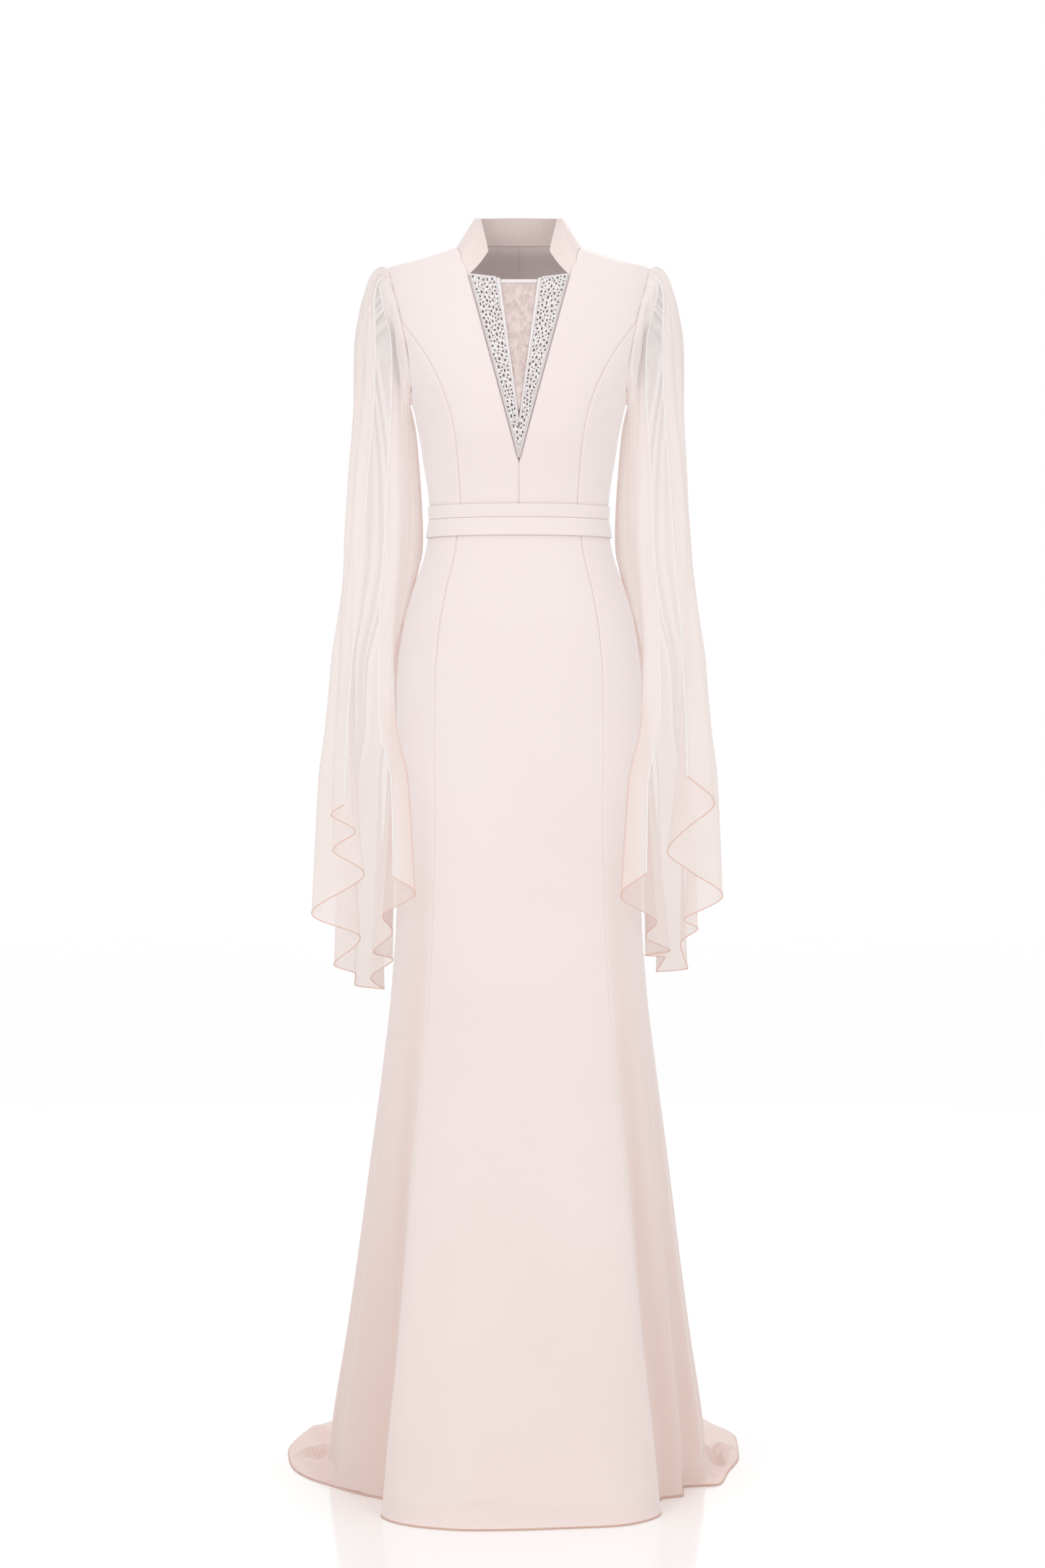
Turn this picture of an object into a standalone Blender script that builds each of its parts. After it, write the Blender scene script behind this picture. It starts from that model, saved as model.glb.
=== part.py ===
"""Floor-length gown: stand collar, V trim, waistband, split cape sleeves and a short train.

Run with blender --background --python part.py, or from Blender's text editor.
Metres, +Z up. The front faces -Y and the wearer's left is +X. Heights in the tables are
measured up from the floor; the origin is midway between the shoulder points, where the
wearer holds the dress up. A turn is an angle in degrees round the body: 0 at the centre
front, 90 at the wearer's left side, 180 at the centre back and negative on the right.
"""

import math

import bmesh
import bpy
import numpy as np

# Driving dimensions
SHOULDER_HEIGHT = 1.570
WAIST_SEAM = 1.2410
BAND_TOP = 1.2610
BAND_SPLIT = 1.2440
BAND_BOTTOM = 1.2210
UNDERARM = 1.395
NECK_POINT = 1.600

CREPE = 0.0020
CHIFFON = 0.0012
BAND_THICK = 0.0022
TRIM_THICK = 0.0016
LACE_THICK = 0.0010
SEAM_GAP = 0.0003
TRIM_PROUD = 0.0008
BAND_EASE = 0.0006
BAND_PROUD = 0.0008
BAND_END_TURN = 179.9
BAND_COLUMNS = 49

# Cups shaped by the princess seams
CUP_ACROSS = 0.085
CUP_HEIGHT = 1.362
CUP_DEPTH = 0.008
CUP_WIDTH = 0.045
CUP_TALL = 0.050

# V trim and insert, in the front view
TRIM_CORNER = (0.0647, 1.5549)
TRIM_TIP = 1.3124
TRIM_CUT = 0.0060
INNER_CORNER = (0.0242, 1.5499)
INNER_TIP = 1.3657
BINDING_WIDTH = 0.0046
INSERT_TOP = 1.5485
INSERT_BINDING = 0.0052
INSERT_TUCK = 0.0030
BINDINGS_MEET = 0.0127
BINDING_RISE = 0.008
LACE_RISE = 0.012
STRIP_ROWS = 11

# Half of the neck seam from the trim's corner to the shoulder, in the front view, then as
# turns from the shoulder to the centre back
NECK_FRONT = (TRIM_CORNER, (0.0690, 1.5680), (0.0740, 1.5810), (0.0775, 1.5925))
NECK_BACK = ((90, 1.6000), (112, 1.6040), (135, 1.6075), (158, 1.6095), (180, 1.6100))

# Rows of the bodice panels: each pair of edges that meets has the same number of them
PRINCESS_ROWS = 11
SIDE_SEAM_ROWS = 7
V_EDGE_HEIGHT = 1.5250
FRONT_ARMHOLE_HEIGHTS = (1.508, 1.524, 1.538, 1.550, 1.561)
SIDE_ARMHOLE_HEIGHTS = (1.406, 1.432, 1.462, 1.489)
BACK_ARMHOLE_HEIGHTS = (*SIDE_ARMHOLE_HEIGHTS, 1.515, 1.540, 1.558)
CENTRE_BACK_HEIGHTS = (1.4200, 1.4613, 1.5025, 1.5438, 1.5850)

# How far round from the front end each of those points is, as a share of half the collar
COLLAR_SHARES = (0.0, 0.12, 0.24, 0.34, 0.44, 0.58, 0.72, 0.86, 1.0)
COLLAR_LIFT = 0.0006
COLLAR_END_REACH = 0.30

# Skirt folds fade out this high above the floor
FOLD_TOP = 0.62
FLOOR_BEND = 0.045

# The sleeve leaves its armhole with a lean, greatest at the shoulder, and hangs straight below
# SLEEVE_EASE of its fall
GATHER_DEPTH = 0.0016
BODY_CLEARANCE = 0.0052
FOLD_GROWTH = 1.7
SLEEVE_EASE = 0.24
SLEEVE_DROP = 0.045
SLEEVE_LEAN = 0.018
SHOULDER_LEAN = 0.045
SLEEVE_OUTWARD = 0.5
ARRIVE_BASE, ARRIVE_BY_LEAN = 0.05, 0.6
ARM_BACK = 0.005


class Table:
    """Rows with named columns. at() reads a column along a smooth curve that never overshoots."""

    def __init__(self, columns, rows):
        values = np.array(sorted(rows), float).T
        self.key = values[0]
        self.values = dict(zip(columns, values))

    def at(self, column, where):
        keys, values = self.key, self.values[column]
        step = np.diff(keys)
        rise = np.diff(values) / step
        slopes = np.concatenate([rise[:1], np.zeros(len(keys) - 2), rise[-1:]])
        same = rise[:-1] * rise[1:] > 0
        before, after = 2 * step[1:] + step[:-1], step[1:] + 2 * step[:-1]
        with np.errstate(divide="ignore", invalid="ignore"):
            mean = (before + after) / (before / rise[:-1] + after / rise[1:])
        slopes[1:-1] = np.where(same, mean, 0.0)
        where = np.clip(where, keys[0], keys[-1])
        i = np.clip(np.searchsorted(keys, where) - 1, 0, len(keys) - 2)
        t = (where - keys[i]) / step[i]
        start, end = values[i], values[i + 1]
        lead, trail = slopes[i] * step[i], slopes[i + 1] * step[i]
        return (
            start * (1 + 2 * t) * (1 - t) ** 2
            + lead * t * (1 - t) ** 2
            + end * t * t * (3 - 2 * t)
            + trail * t * t * (t - 1)
        )


SECTION_COLUMNS = ("height", "half_width", "front", "back", "squareness")

TORSO = Table(
    SECTION_COLUMNS,
    (
        (1.241, 0.1137, 0.090, 0.072, 2.1),
        (1.281, 0.1175, 0.096, 0.074, 2.1),
        (1.318, 0.1235, 0.107, 0.082, 2.1),
        (1.356, 0.1295, 0.119, 0.091, 2.1),
        (1.395, 0.1385, 0.118, 0.098, 2.1),
        (1.430, 0.1500, 0.111, 0.102, 2.2),
        (1.470, 0.1625, 0.100, 0.103, 2.2),
        (1.510, 0.1720, 0.088, 0.101, 2.2),
        (1.545, 0.1745, 0.077, 0.096, 2.1),
        (1.570, 0.1700, 0.068, 0.089, 2.0),
        (1.581, 0.1330, 0.063, 0.084, 2.0),
        (1.592, 0.0970, 0.056, 0.076, 2.0),
        (1.600, 0.0790, 0.046, 0.070, 2.0),
        (1.612, 0.0700, 0.040, 0.064, 2.0),
    ),
)

SKIRT = Table(
    SECTION_COLUMNS,
    (
        (0.000, 0.2500, 0.280, 0.300, 2.3),
        (0.080, 0.2400, 0.250, 0.265, 2.3),
        (0.180, 0.2240, 0.217, 0.225, 2.3),
        (0.300, 0.2070, 0.186, 0.185, 2.3),
        (0.420, 0.1915, 0.160, 0.155, 2.3),
        (0.530, 0.1775, 0.140, 0.135, 2.2),
        (0.640, 0.1650, 0.126, 0.121, 2.2),
        (0.750, 0.1585, 0.117, 0.114, 2.2),
        (0.850, 0.1575, 0.112, 0.113, 2.1),
        (0.950, 0.1590, 0.109, 0.116, 2.1),
        (1.030, 0.1585, 0.108, 0.119, 2.1),
        (1.100, 0.1510, 0.106, 0.114, 2.1),
        (1.150, 0.1385, 0.102, 0.103, 2.1),
        (1.200, 0.1215, 0.095, 0.085, 2.1),
        (1.241, 0.1137, 0.090, 0.072, 2.1),
    ),
)

# Where the skirt stands on the floor and where its hem lies, a row for each fold edge
HEM_COLUMNS = ("turn", "stand_across", "stand_back", "hem_across", "hem_back", "lift")
HEM_ROWS = (
    (-168, -0.050, 0.292, -0.095, 0.540, 0.002),
    (-155, -0.108, 0.285, -0.180, 0.485, 0.012),
    (-141, -0.150, 0.236, -0.250, 0.402, 0.002),
    (-127, -0.208, 0.198, -0.306, 0.290, 0.013),
    (-112, -0.228, 0.128, -0.321, 0.180, 0.003),
    (-97, -0.252, 0.062, -0.308, 0.072, 0.010),
    (-84, -0.240, 0.006, -0.278, 0.000, 0.002),
    (-73, -0.232, -0.045, -0.244, -0.036, 0.004),
    (-62, -0.196, -0.092, -0.201, -0.086, 0.000),
    (-52, -0.158, -0.132, -0.160, -0.130, 0.000),
    (-45, -0.162, -0.178, -0.162, -0.178, 0.000),
    (-42, -0.170, -0.204, -0.170, -0.204, 0.000),
    (-38, -0.160, -0.230, -0.160, -0.230, 0.000),
    (-28, -0.118, -0.265, -0.118, -0.265, 0.000),
    (-13, -0.055, -0.281, -0.055, -0.281, 0.000),
    (0, 0.000, -0.278, 0.000, -0.278, 0.000),
    (13, 0.055, -0.270, 0.055, -0.270, 0.000),
    (28, 0.120, -0.258, 0.120, -0.258, 0.000),
    (38, 0.164, -0.222, 0.164, -0.222, 0.000),
    (42, 0.176, -0.192, 0.176, -0.192, 0.000),
    (46, 0.171, -0.160, 0.171, -0.160, 0.000),
    (53, 0.180, -0.112, 0.181, -0.110, 0.000),
    (60, 0.208, -0.094, 0.210, -0.092, 0.000),
    (68, 0.206, -0.052, 0.212, -0.046, 0.003),
    (78, 0.240, -0.030, 0.262, -0.034, 0.008),
    (91, 0.243, 0.030, 0.282, 0.050, 0.002),
    (105, 0.246, 0.098, 0.302, 0.140, 0.012),
    (121, 0.205, 0.168, 0.306, 0.262, 0.002),
    (136, 0.186, 0.232, 0.262, 0.378, 0.014),
    (151, 0.120, 0.262, 0.186, 0.474, 0.003),
    (166, 0.060, 0.300, 0.098, 0.538, 0.010),
    (180, 0.000, 0.286, 0.000, 0.556, 0.002),
)
TURN_ROUND = 360
HEM = Table(
    HEM_COLUMNS,
    [(row[0] - TURN_ROUND, *row[1:]) for row in HEM_ROWS if row[0] > 90]
    + list(HEM_ROWS)
    + [(row[0] + TURN_ROUND, *row[1:]) for row in HEM_ROWS if row[0] < -90],
)

# Seams and edges in the front view
PRINCESS = Table(
    ("height", "across"),
    (
        (1.2407, 0.0745),
        (1.2637, 0.0754),
        (1.3236, 0.0793),
        (1.3636, 0.0850),
        (1.3995, 0.0950),
        (1.4366, 0.1112),
        (1.4705, 0.1318),
        (1.4955, 0.1503),
    ),
)
ARMHOLE = Table(
    ("height", "front", "back"),
    (
        (1.3950, 0.1384, 0.1384),
        (1.4020, 0.1380, 0.1390),
        (1.4200, 0.1395, 0.1420),
        (1.4600, 0.1445, 0.1480),
        (1.5000, 0.1515, 0.1545),
        (1.5350, 0.1610, 0.1625),
        (1.5580, 0.1672, 0.1680),
        (1.5700, 0.1700, 0.1700),
    ),
)
# The collar's front end runs from its base corner out to a tip, then back up to its top
COLLAR_END = Table(
    ("share", "across", "back", "height"),
    (
        (0.00, 0.0647, -0.0670, 1.5550),
        (0.45, 0.0395, -0.0680, 1.5850),
        (0.60, 0.0425, -0.0610, 1.6000),
        (1.00, 0.0500, -0.0400, 1.6300),
    ),
)
COLLAR_TOP = Table(
    ("share", "across", "back", "height"),
    (
        (0.00, 0.0500, -0.0400, 1.6300),
        (0.24, 0.0562, -0.0180, 1.6340),
        (0.44, 0.0575, 0.0060, 1.6370),
        (0.65, 0.0470, 0.0350, 1.6410),
        (0.85, 0.0220, 0.0545, 1.6440),
        (1.00, 0.0000, 0.0590, 1.6450),
    ),
)

# The sleeve hangs from the armhole as a tube round the arm, open at the front
SLEEVE_RINGS = Table(
    ("height", "centre", "half_across", "half_deep", "outer_edge", "inner_edge"),
    (
        (1.470, 0.1830, 0.0292, 0.046, 1.0, -42.0),
        (1.356, 0.1758, 0.0402, 0.055, 19.0, -14.0),
        (1.281, 0.1759, 0.0469, 0.060, 23.6, -8.5),
        (1.206, 0.1775, 0.0510, 0.064, 25.0, -6.0),
        (1.131, 0.1870, 0.0470, 0.067, 24.0, -12.0),
        (1.056, 0.1965, 0.0435, 0.069, 19.0, -25.0),
        (0.981, 0.1988, 0.0468, 0.072, 20.0, -27.0),
        (0.906, 0.1995, 0.0520, 0.076, 19.0, -45.0),
        (0.640, 0.2010, 0.0560, 0.082, 19.0, -50.0),
    ),
)

# A row for each fold edge of a sleeve's hem, from the outer slit edge to the inner one
SLEEVE_COLUMNS = ("edge", "armhole_turn", "across", "back", "height")
RIGHT_SLEEVE = Table(
    SLEEVE_COLUMNS,
    (
        (0, -32, 0.2237, -0.060, 0.877),
        (1, -20, 0.2410, -0.045, 0.864),
        (2, -9, 0.2110, -0.030, 0.842),
        (3, 2, 0.2406, -0.008, 0.817),
        (4, 13, 0.2010, 0.005, 0.785),
        (5, 25, 0.2707, 0.030, 0.733),
        (6, 38, 0.2078, 0.045, 0.700),
        (7, 51, 0.2433, 0.065, 0.664),
        (8, 65, 0.2157, 0.080, 0.650),
        (9, 80, 0.2175, 0.098, 0.634),
        (10, 100, 0.1785, 0.108, 0.628),
        (11, 120, 0.1960, 0.080, 0.645),
        (12, 142, 0.1660, 0.062, 0.670),
        (13, 165, 0.1910, 0.040, 0.682),
        (14, 195, 0.1640, 0.004, 0.711),
        (15, 232, 0.1756, -0.035, 0.733),
        (16, 280, 0.1312, -0.110, 0.766),
        (17, 328, 0.1590, -0.105, 0.787),
    ),
)
LEFT_SLEEVE = Table(
    SLEEVE_COLUMNS,
    (
        (0, -32, 0.2153, -0.065, 0.914),
        (1, -20, 0.2510, -0.045, 0.879),
        (2, -9, 0.2165, -0.028, 0.846),
        (3, 2, 0.1920, -0.010, 0.816),
        (4, 13, 0.2226, 0.000, 0.789),
        (5, 25, 0.2655, 0.020, 0.756),
        (6, 38, 0.2164, 0.045, 0.724),
        (7, 51, 0.2350, 0.062, 0.711),
        (8, 65, 0.2130, 0.078, 0.690),
        (9, 80, 0.2236, 0.098, 0.656),
        (10, 100, 0.1820, 0.108, 0.651),
        (11, 120, 0.1930, 0.080, 0.672),
        (12, 142, 0.1660, 0.062, 0.676),
        (13, 165, 0.1980, 0.038, 0.684),
        (14, 195, 0.1640, 0.002, 0.705),
        (15, 232, 0.1775, -0.035, 0.726),
        (16, 280, 0.1288, -0.110, 0.763),
        (17, 328, 0.1616, -0.105, 0.792),
    ),
)

# Skirt rows: heights above the last of which each column's remaining length is shared out
SKIRT_HEIGHTS = (
    1.2407, 1.2205, 1.185, 1.140, 1.090, 1.030, 0.950, 0.860, 0.760, 0.650, 0.530, 0.410, 0.300,
)
SKIRT_SHARES = (0.22, 0.44, 0.62, 0.76, 0.88, 1.0)

COLOURS = {
    "crepe": (0.87, 0.76, 0.74),
    "chiffon": (0.90, 0.78, 0.75),
    "beaded": (0.76, 0.70, 0.70),
    "lace": (0.62, 0.50, 0.46),
    "binding": (0.90, 0.82, 0.80),
}


def ring(table, turn, height):
    """A point of a section, squarer than an ellipse where its squareness is over 2."""
    sine, cosine = np.sin(np.radians(turn)), np.cos(np.radians(turn))
    power = table.at("squareness", height)
    swell = (np.abs(sine) ** power + np.abs(cosine) ** power) ** (-1 / power)
    depth = np.where(cosine > 0, table.at("front", height), table.at("back", height))
    across = table.at("half_width", height) * swell * sine
    return np.stack([across, -depth * swell * cosine, height + 0 * across], -1)


def torso(turn, height):
    """The bodice's outer surface."""
    turn, height = np.broadcast_arrays(np.asarray(turn, float), np.asarray(height, float))
    points = ring(TORSO, turn, height)
    sideways = (np.abs(points[..., 0]) - CUP_ACROSS) / CUP_WIDTH
    upward = (height - CUP_HEIGHT) / CUP_TALL
    facing = np.clip(np.cos(np.radians(turn)), 0, 1)
    points[..., 1] -= CUP_DEPTH * np.exp(-(sideways**2) - upward**2) * facing
    return points


def turn_at(across, height, behind=False):
    """The turn at which the torso's front, or its back, is this far across."""
    turns = np.linspace(180, 90, 181) if behind else np.linspace(0, 90, 181)
    found = [
        math.copysign(np.interp(abs(x), torso(turns, z)[:, 0], turns), x if x else 1)
        for x, z in zip(np.ravel(across), np.ravel(height))
    ]
    return np.array(found).reshape(np.shape(across))


def normals(points, closed=False):
    """Outward unit normals of a grid of points, from its neighbours along rows and columns."""
    if closed:
        along = np.roll(points, -1, 1) - np.roll(points, 1, 1)
    else:
        along = np.gradient(points, axis=1)
    cross = np.cross(np.gradient(points, axis=0), along)
    return cross / np.linalg.norm(cross, axis=-1, keepdims=True)


def torso_normals(turn, height):
    """Outward normals of the torso, the same for every piece that meets at a seam."""
    small_turn, small_rise = 0.3, 0.0008
    round_it = torso(turn + small_turn, height) - torso(turn - small_turn, height)
    up_it = torso(turn, height + small_rise) - torso(turn, height - small_rise)
    cross = np.cross(round_it, up_it)
    return cross / np.linalg.norm(cross, axis=-1, keepdims=True)


def material(name):
    """A Principled BSDF in the cloth's colour."""
    found = bpy.data.materials.get(name)
    if found:
        return found
    made = bpy.data.materials.new(name)
    made.use_nodes = True
    shader = made.node_tree.nodes["Principled BSDF"]
    shader.inputs["Base Color"].default_value = (*COLOURS[name], 1.0)
    shader.inputs["Roughness"].default_value = 0.6
    shader.inputs["Metallic"].default_value = 0.0
    return made


def wall(name, outer, inner, cloth, collection):
    """A closed wall between two grids of points, as one object."""
    rows, columns = outer.shape[:2]
    mesh = bmesh.new()
    bmesh.ops.create_grid(mesh, x_segments=columns - 1, y_segments=rows - 1, size=1.0)
    place = mesh.verts.layers.int.new("place")
    for vert in mesh.verts:
        column = round((vert.co.x + 1) / 2 * (columns - 1))
        row = round((vert.co.y + 1) / 2 * (rows - 1))
        vert[place] = row * columns + column
    made = bmesh.ops.extrude_face_region(mesh, geom=mesh.faces[:], use_keep_orig=True)
    moved = {item for item in made["geom"] if isinstance(item, bmesh.types.BMVert)}
    for vert in mesh.verts:
        side = inner if vert in moved else outer
        x, y, height = side[divmod(vert[place], columns)]
        vert.co = (x, y, max(height, 0.0) - SHOULDER_HEIGHT)
    bmesh.ops.recalc_face_normals(mesh, faces=mesh.faces[:])
    if mesh.calc_volume(signed=True) < 0:
        bmesh.ops.reverse_faces(mesh, faces=mesh.faces[:])
    data = bpy.data.meshes.new(name)
    mesh.to_mesh(data)
    mesh.free()
    data.materials.append(material(cloth))
    data.shade_smooth()
    data.set_sharp_from_angle(angle=math.radians(50))
    made_object = bpy.data.objects.new(name, data)
    collection.objects.link(made_object)
    return made_object


def pulled_in(points, first=True, last=True, axis=1, by=SEAM_GAP / 2):
    """The grid with its first and last line moved inwards, so neighbours stay a seam gap apart."""
    points = np.swapaxes(points.copy(), 0, axis)
    for end, near, wanted in ((0, 1, first), (-1, -2, last)):
        if wanted:
            step = points[near] - points[end]
            points[end] += by * step / np.linalg.norm(step, axis=-1, keepdims=True)
    return np.swapaxes(points, 0, axis)


def torso_panel(name, low, high, columns, collection, mirror):
    """A bodice panel between two edges. Each edge is a row of (turn, height) for each grid row."""
    share = np.linspace(0, 1, columns)[None, :, None]
    spots = low[:, None, :] * (1 - share) + high[:, None, :] * share
    turn, height = mirror * spots[..., 0], spots[..., 1]
    outer = torso(turn, height)
    inner = outer - CREPE * torso_normals(turn, height)
    outer, inner = (pulled_in(pulled_in(p), axis=0) for p in (outer, inner))
    return wall(name, outer, inner, "crepe", collection)


def front_edge(across, height):
    return np.stack([turn_at(across, height), height], -1)


def neck_seam():
    """The (turn, height) of the neck seam's points, from the trim's corner to the centre back."""
    front = front_edge(*np.array(NECK_FRONT).T)
    return np.concatenate([front, np.array(NECK_BACK)])


def bodice(collection):
    """Front, side front and back panels on each side."""
    low = np.linspace(WAIST_SEAM, PRINCESS.key[-1], PRINCESS_ROWS)
    neck = neck_seam()
    point = len(NECK_FRONT)

    inner_heights = np.append(low, V_EDGE_HEIGHT)
    slope = TRIM_CORNER[0] / (TRIM_CORNER[1] - TRIM_TIP)
    inner_line = front_edge(np.maximum(inner_heights - TRIM_TIP, 0) * slope, inner_heights)
    front_inner = np.concatenate([inner_line, neck[: point + 1]])

    princess = front_edge(PRINCESS.at("across", low), low)
    rise = np.array(FRONT_ARMHOLE_HEIGHTS)
    front_armhole = front_edge(ARMHOLE.at("front", rise), rise)
    front_outer = np.concatenate([princess, front_armhole, [(90.0, SHOULDER_HEIGHT)]])

    side_low = np.linspace(WAIST_SEAM, UNDERARM, SIDE_SEAM_ROWS)
    side_seam = np.stack([np.full(len(side_low), 90.0), side_low], -1)
    side_rise = np.array(SIDE_ARMHOLE_HEIGHTS)
    side_armhole = front_edge(ARMHOLE.at("front", side_rise), side_rise)
    side_outer = np.concatenate([side_seam, side_armhole])

    back_rise = np.array(BACK_ARMHOLE_HEIGHTS)
    back_turn = turn_at(ARMHOLE.at("back", back_rise), back_rise, behind=True)
    back_armhole = np.concatenate([side_seam, np.stack([back_turn, back_rise], -1)])
    shoulder = np.array([(90.0, z) for z in np.linspace(SHOULDER_HEIGHT, NECK_POINT, 4)[:-1]])
    back_outer = np.concatenate([back_armhole, shoulder])
    centre_heights = np.concatenate([side_low, CENTRE_BACK_HEIGHTS])
    centre_back = np.stack([np.full(len(centre_heights), 180.0), centre_heights], -1)
    back_inner = np.concatenate([centre_back, neck[:point:-1], neck[point : point + 1]])

    for name, low_edge, high_edge, columns in (
        ("bodice_front", front_inner, front_outer, 7),
        ("bodice_side_front", princess, side_outer, 5),
        ("bodice_back", back_outer, back_inner, 9),
    ):
        torso_panel(f"{name}_left", low_edge, high_edge, columns, collection, 1)
        torso_panel(f"{name}_right", low_edge, high_edge, columns, collection, -1)


def front_strip(name, near, far, columns, cloth, collection, under, thick, mirror=1):
    """A piece of the V, between two lines of (across, height), lying under metres off the torso."""
    share = np.linspace(0, 1, columns)[None, :, None]
    spots = near[:, None, :] * (1 - share) + far[:, None, :] * share
    turn = turn_at(spots[..., 0], spots[..., 1])
    face = torso(mirror * turn, spots[..., 1])
    out = torso_normals(mirror * turn, spots[..., 1])
    return wall(name, face + (under + thick) * out, face + under * out, cloth, collection)


def v_trim(collection):
    """Beaded bands, their bindings, the lace insert and its bound top edge."""
    tip = TRIM_TIP + TRIM_CUT
    corner_across, corner_height = TRIM_CORNER
    band_far_height = np.linspace(tip, corner_height, STRIP_ROWS)
    slope = corner_across / (corner_height - TRIM_TIP)
    band_far = (band_far_height - TRIM_TIP) * slope - SEAM_GAP

    inner_across, inner_height = INNER_CORNER
    bind_start = INNER_TIP - BINDINGS_MEET
    bind_slope = (inner_across + BINDING_WIDTH) / (inner_height - bind_start)

    def bound_edge(height):
        return SEAM_GAP / 2 + np.maximum(height - bind_start, 0) * bind_slope

    band_near_height = np.linspace(tip, inner_height, STRIP_ROWS)
    bind_height = np.linspace(bind_start + BINDING_RISE, inner_height, STRIP_ROWS)
    lace_slope = inner_across / (inner_height - INNER_TIP)
    open_edge = np.maximum((bind_height - INNER_TIP) * lace_slope, SEAM_GAP / 2)

    lace_height = np.linspace(INNER_TIP + LACE_RISE, INSERT_TOP - INSERT_BINDING, STRIP_ROWS)
    lace_half = (lace_height - INNER_TIP) * lace_slope + INSERT_TUCK
    top_height = np.array([INSERT_TOP - INSERT_BINDING + SEAM_GAP, INSERT_TOP])
    top_half = (top_height - INNER_TIP) * lace_slope - SEAM_GAP

    proud = TRIM_PROUD - TRIM_THICK
    for side, mirror in (("left", 1), ("right", -1)):
        near = np.stack([bound_edge(band_near_height), band_near_height], -1)
        far = np.stack([band_far, band_far_height], -1)
        front_strip(f"v_trim_{side}", near, far, 5, "beaded", collection, proud, TRIM_THICK,
                    mirror)
        near = np.stack([open_edge, bind_height], -1)
        far = np.stack([bound_edge(bind_height) - SEAM_GAP, bind_height], -1)
        front_strip(f"trim_binding_{side}", near, far, 3, "binding", collection, proud,
                    TRIM_THICK, mirror)
    under = proud - 2 * SEAM_GAP - LACE_THICK
    front_strip("lace_insert", np.stack([-lace_half, lace_height], -1),
                np.stack([lace_half, lace_height], -1), 9, "lace", collection, under, LACE_THICK)
    front_strip("insert_binding", np.stack([-top_half, top_height], -1),
                np.stack([top_half, top_height], -1), 7, "binding", collection, under,
                LACE_THICK + SEAM_GAP)


def stand_collar(collection):
    """A standing band round the neck, whose front ends come to a point."""
    steps = np.arange(len(COLLAR_SHARES))
    fine = np.linspace(0, steps[-1], 2 * len(steps) - 1)
    seam = neck_seam()
    foot = torso(seam[:, 0], seam[:, 1]) + np.array([0, 0, COLLAR_LIFT])
    foot = np.stack([np.interp(fine, steps, foot[:, axis]) for axis in range(3)], -1)
    share = np.interp(fine, steps, COLLAR_SHARES)
    places = ("across", "back", "height")
    top = np.stack([COLLAR_TOP.at(place, share) for place in places], -1)
    up = np.linspace(0, 1, 7)
    end = np.stack([COLLAR_END.at(place, up) for place in places], -1)
    up = up[:, None, None]
    half = foot * (1 - up) + top * up
    fade = np.clip(1 - share / COLLAR_END_REACH, 0, 1)[None, :, None] ** 2
    half += fade * (end[:, None] - half[:, :1])
    half[0] = foot
    outer = np.concatenate([half, half[:, -2::-1] * np.array([-1, 1, 1])], 1)
    out = normals(outer)
    out *= -np.sign(out[0, 0, 1])
    wall("stand_collar", outer, outer - CREPE * out, "crepe", collection)


def waistband(collection):
    """Two bands round the waist that lie over the seam, meeting at the centre back."""
    turn = np.linspace(-BAND_END_TURN, BAND_END_TURN, BAND_COLUMNS)[None, :]
    for name, table, low, high, thick in (
        ("waistband_upper", TORSO, BAND_SPLIT, BAND_TOP, BAND_THICK),
        ("waistband_lower", SKIRT, BAND_BOTTOM, BAND_SPLIT - SEAM_GAP, BAND_THICK + BAND_PROUD),
    ):
        heights = np.array([low, high])[:, None]
        face = ring(table, turn, heights)
        upright = ring(table, turn, heights + 0 * turn).mean(0, keepdims=True)
        out = -normals(np.concatenate([upright, upright + np.array([0, 0, 0.01])]))[:1]
        near = face + BAND_EASE * out
        wall(name, near + thick * out, near, "crepe", collection)


def skirt_fall(turn, height):
    """The skirt above the floor: its section with the folds grown in towards the hem."""
    points = ring(SKIRT, turn, height)
    foot = ring(SKIRT, turn, np.zeros_like(height))
    growth = np.clip(1 - height / FOLD_TOP, 0, 1) ** 1.5
    points[..., 0] += growth * (HEM.at("stand_across", turn) - foot[..., 0])
    points[..., 1] += growth * (HEM.at("stand_back", turn) - foot[..., 1])
    return points


def skirt_column(turn, rows):
    """One column of the skirt. rows counts SKIRT_HEIGHTS, then SKIRT_SHARES."""
    last = len(SKIRT_HEIGHTS) - 1
    share = np.interp(rows, last + np.arange(len(SKIRT_SHARES) + 1), (0.0, *SKIRT_SHARES))
    height = np.interp(rows, np.arange(last + 1), SKIRT_HEIGHTS)
    column = skirt_fall(np.full_like(height, turn), height)

    heights = np.linspace(SKIRT_HEIGHTS[-1], CREPE, 60)
    path = skirt_fall(np.full_like(heights, turn), heights)
    stand = path[-1, :2]
    hem = np.array([HEM.at("hem_across", turn), HEM.at("hem_back", turn)])
    lying = np.linalg.norm(hem - stand)
    if lying > CREPE:
        outward = (hem - stand) / lying
        bend = min(FLOOR_BEND, lying / 2)
        near = np.clip(1 - heights / bend, 0, 1)
        path[:, :2] += np.outer(bend * (1 - np.sqrt(1 - near**2)), outward)
        far = np.linspace(0, 1, 30)[1:]
        floor = np.empty((len(far), 3))
        floor[:, :2] = path[-1, :2] + np.outer(far * (lying - bend), outward)
        floor[:, 2] = CREPE + HEM.at("lift", turn) * np.sin(far * math.pi / 2) ** 2
        path = np.concatenate([path, floor])
    steps = np.linalg.norm(np.diff(path, axis=0), axis=1)
    along = np.concatenate([[0], np.cumsum(steps)]) / steps.sum()
    below = rows > last
    for axis in range(3):
        column[below, axis] = np.interp(share[below], along, path[:, axis])
    return column


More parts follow.
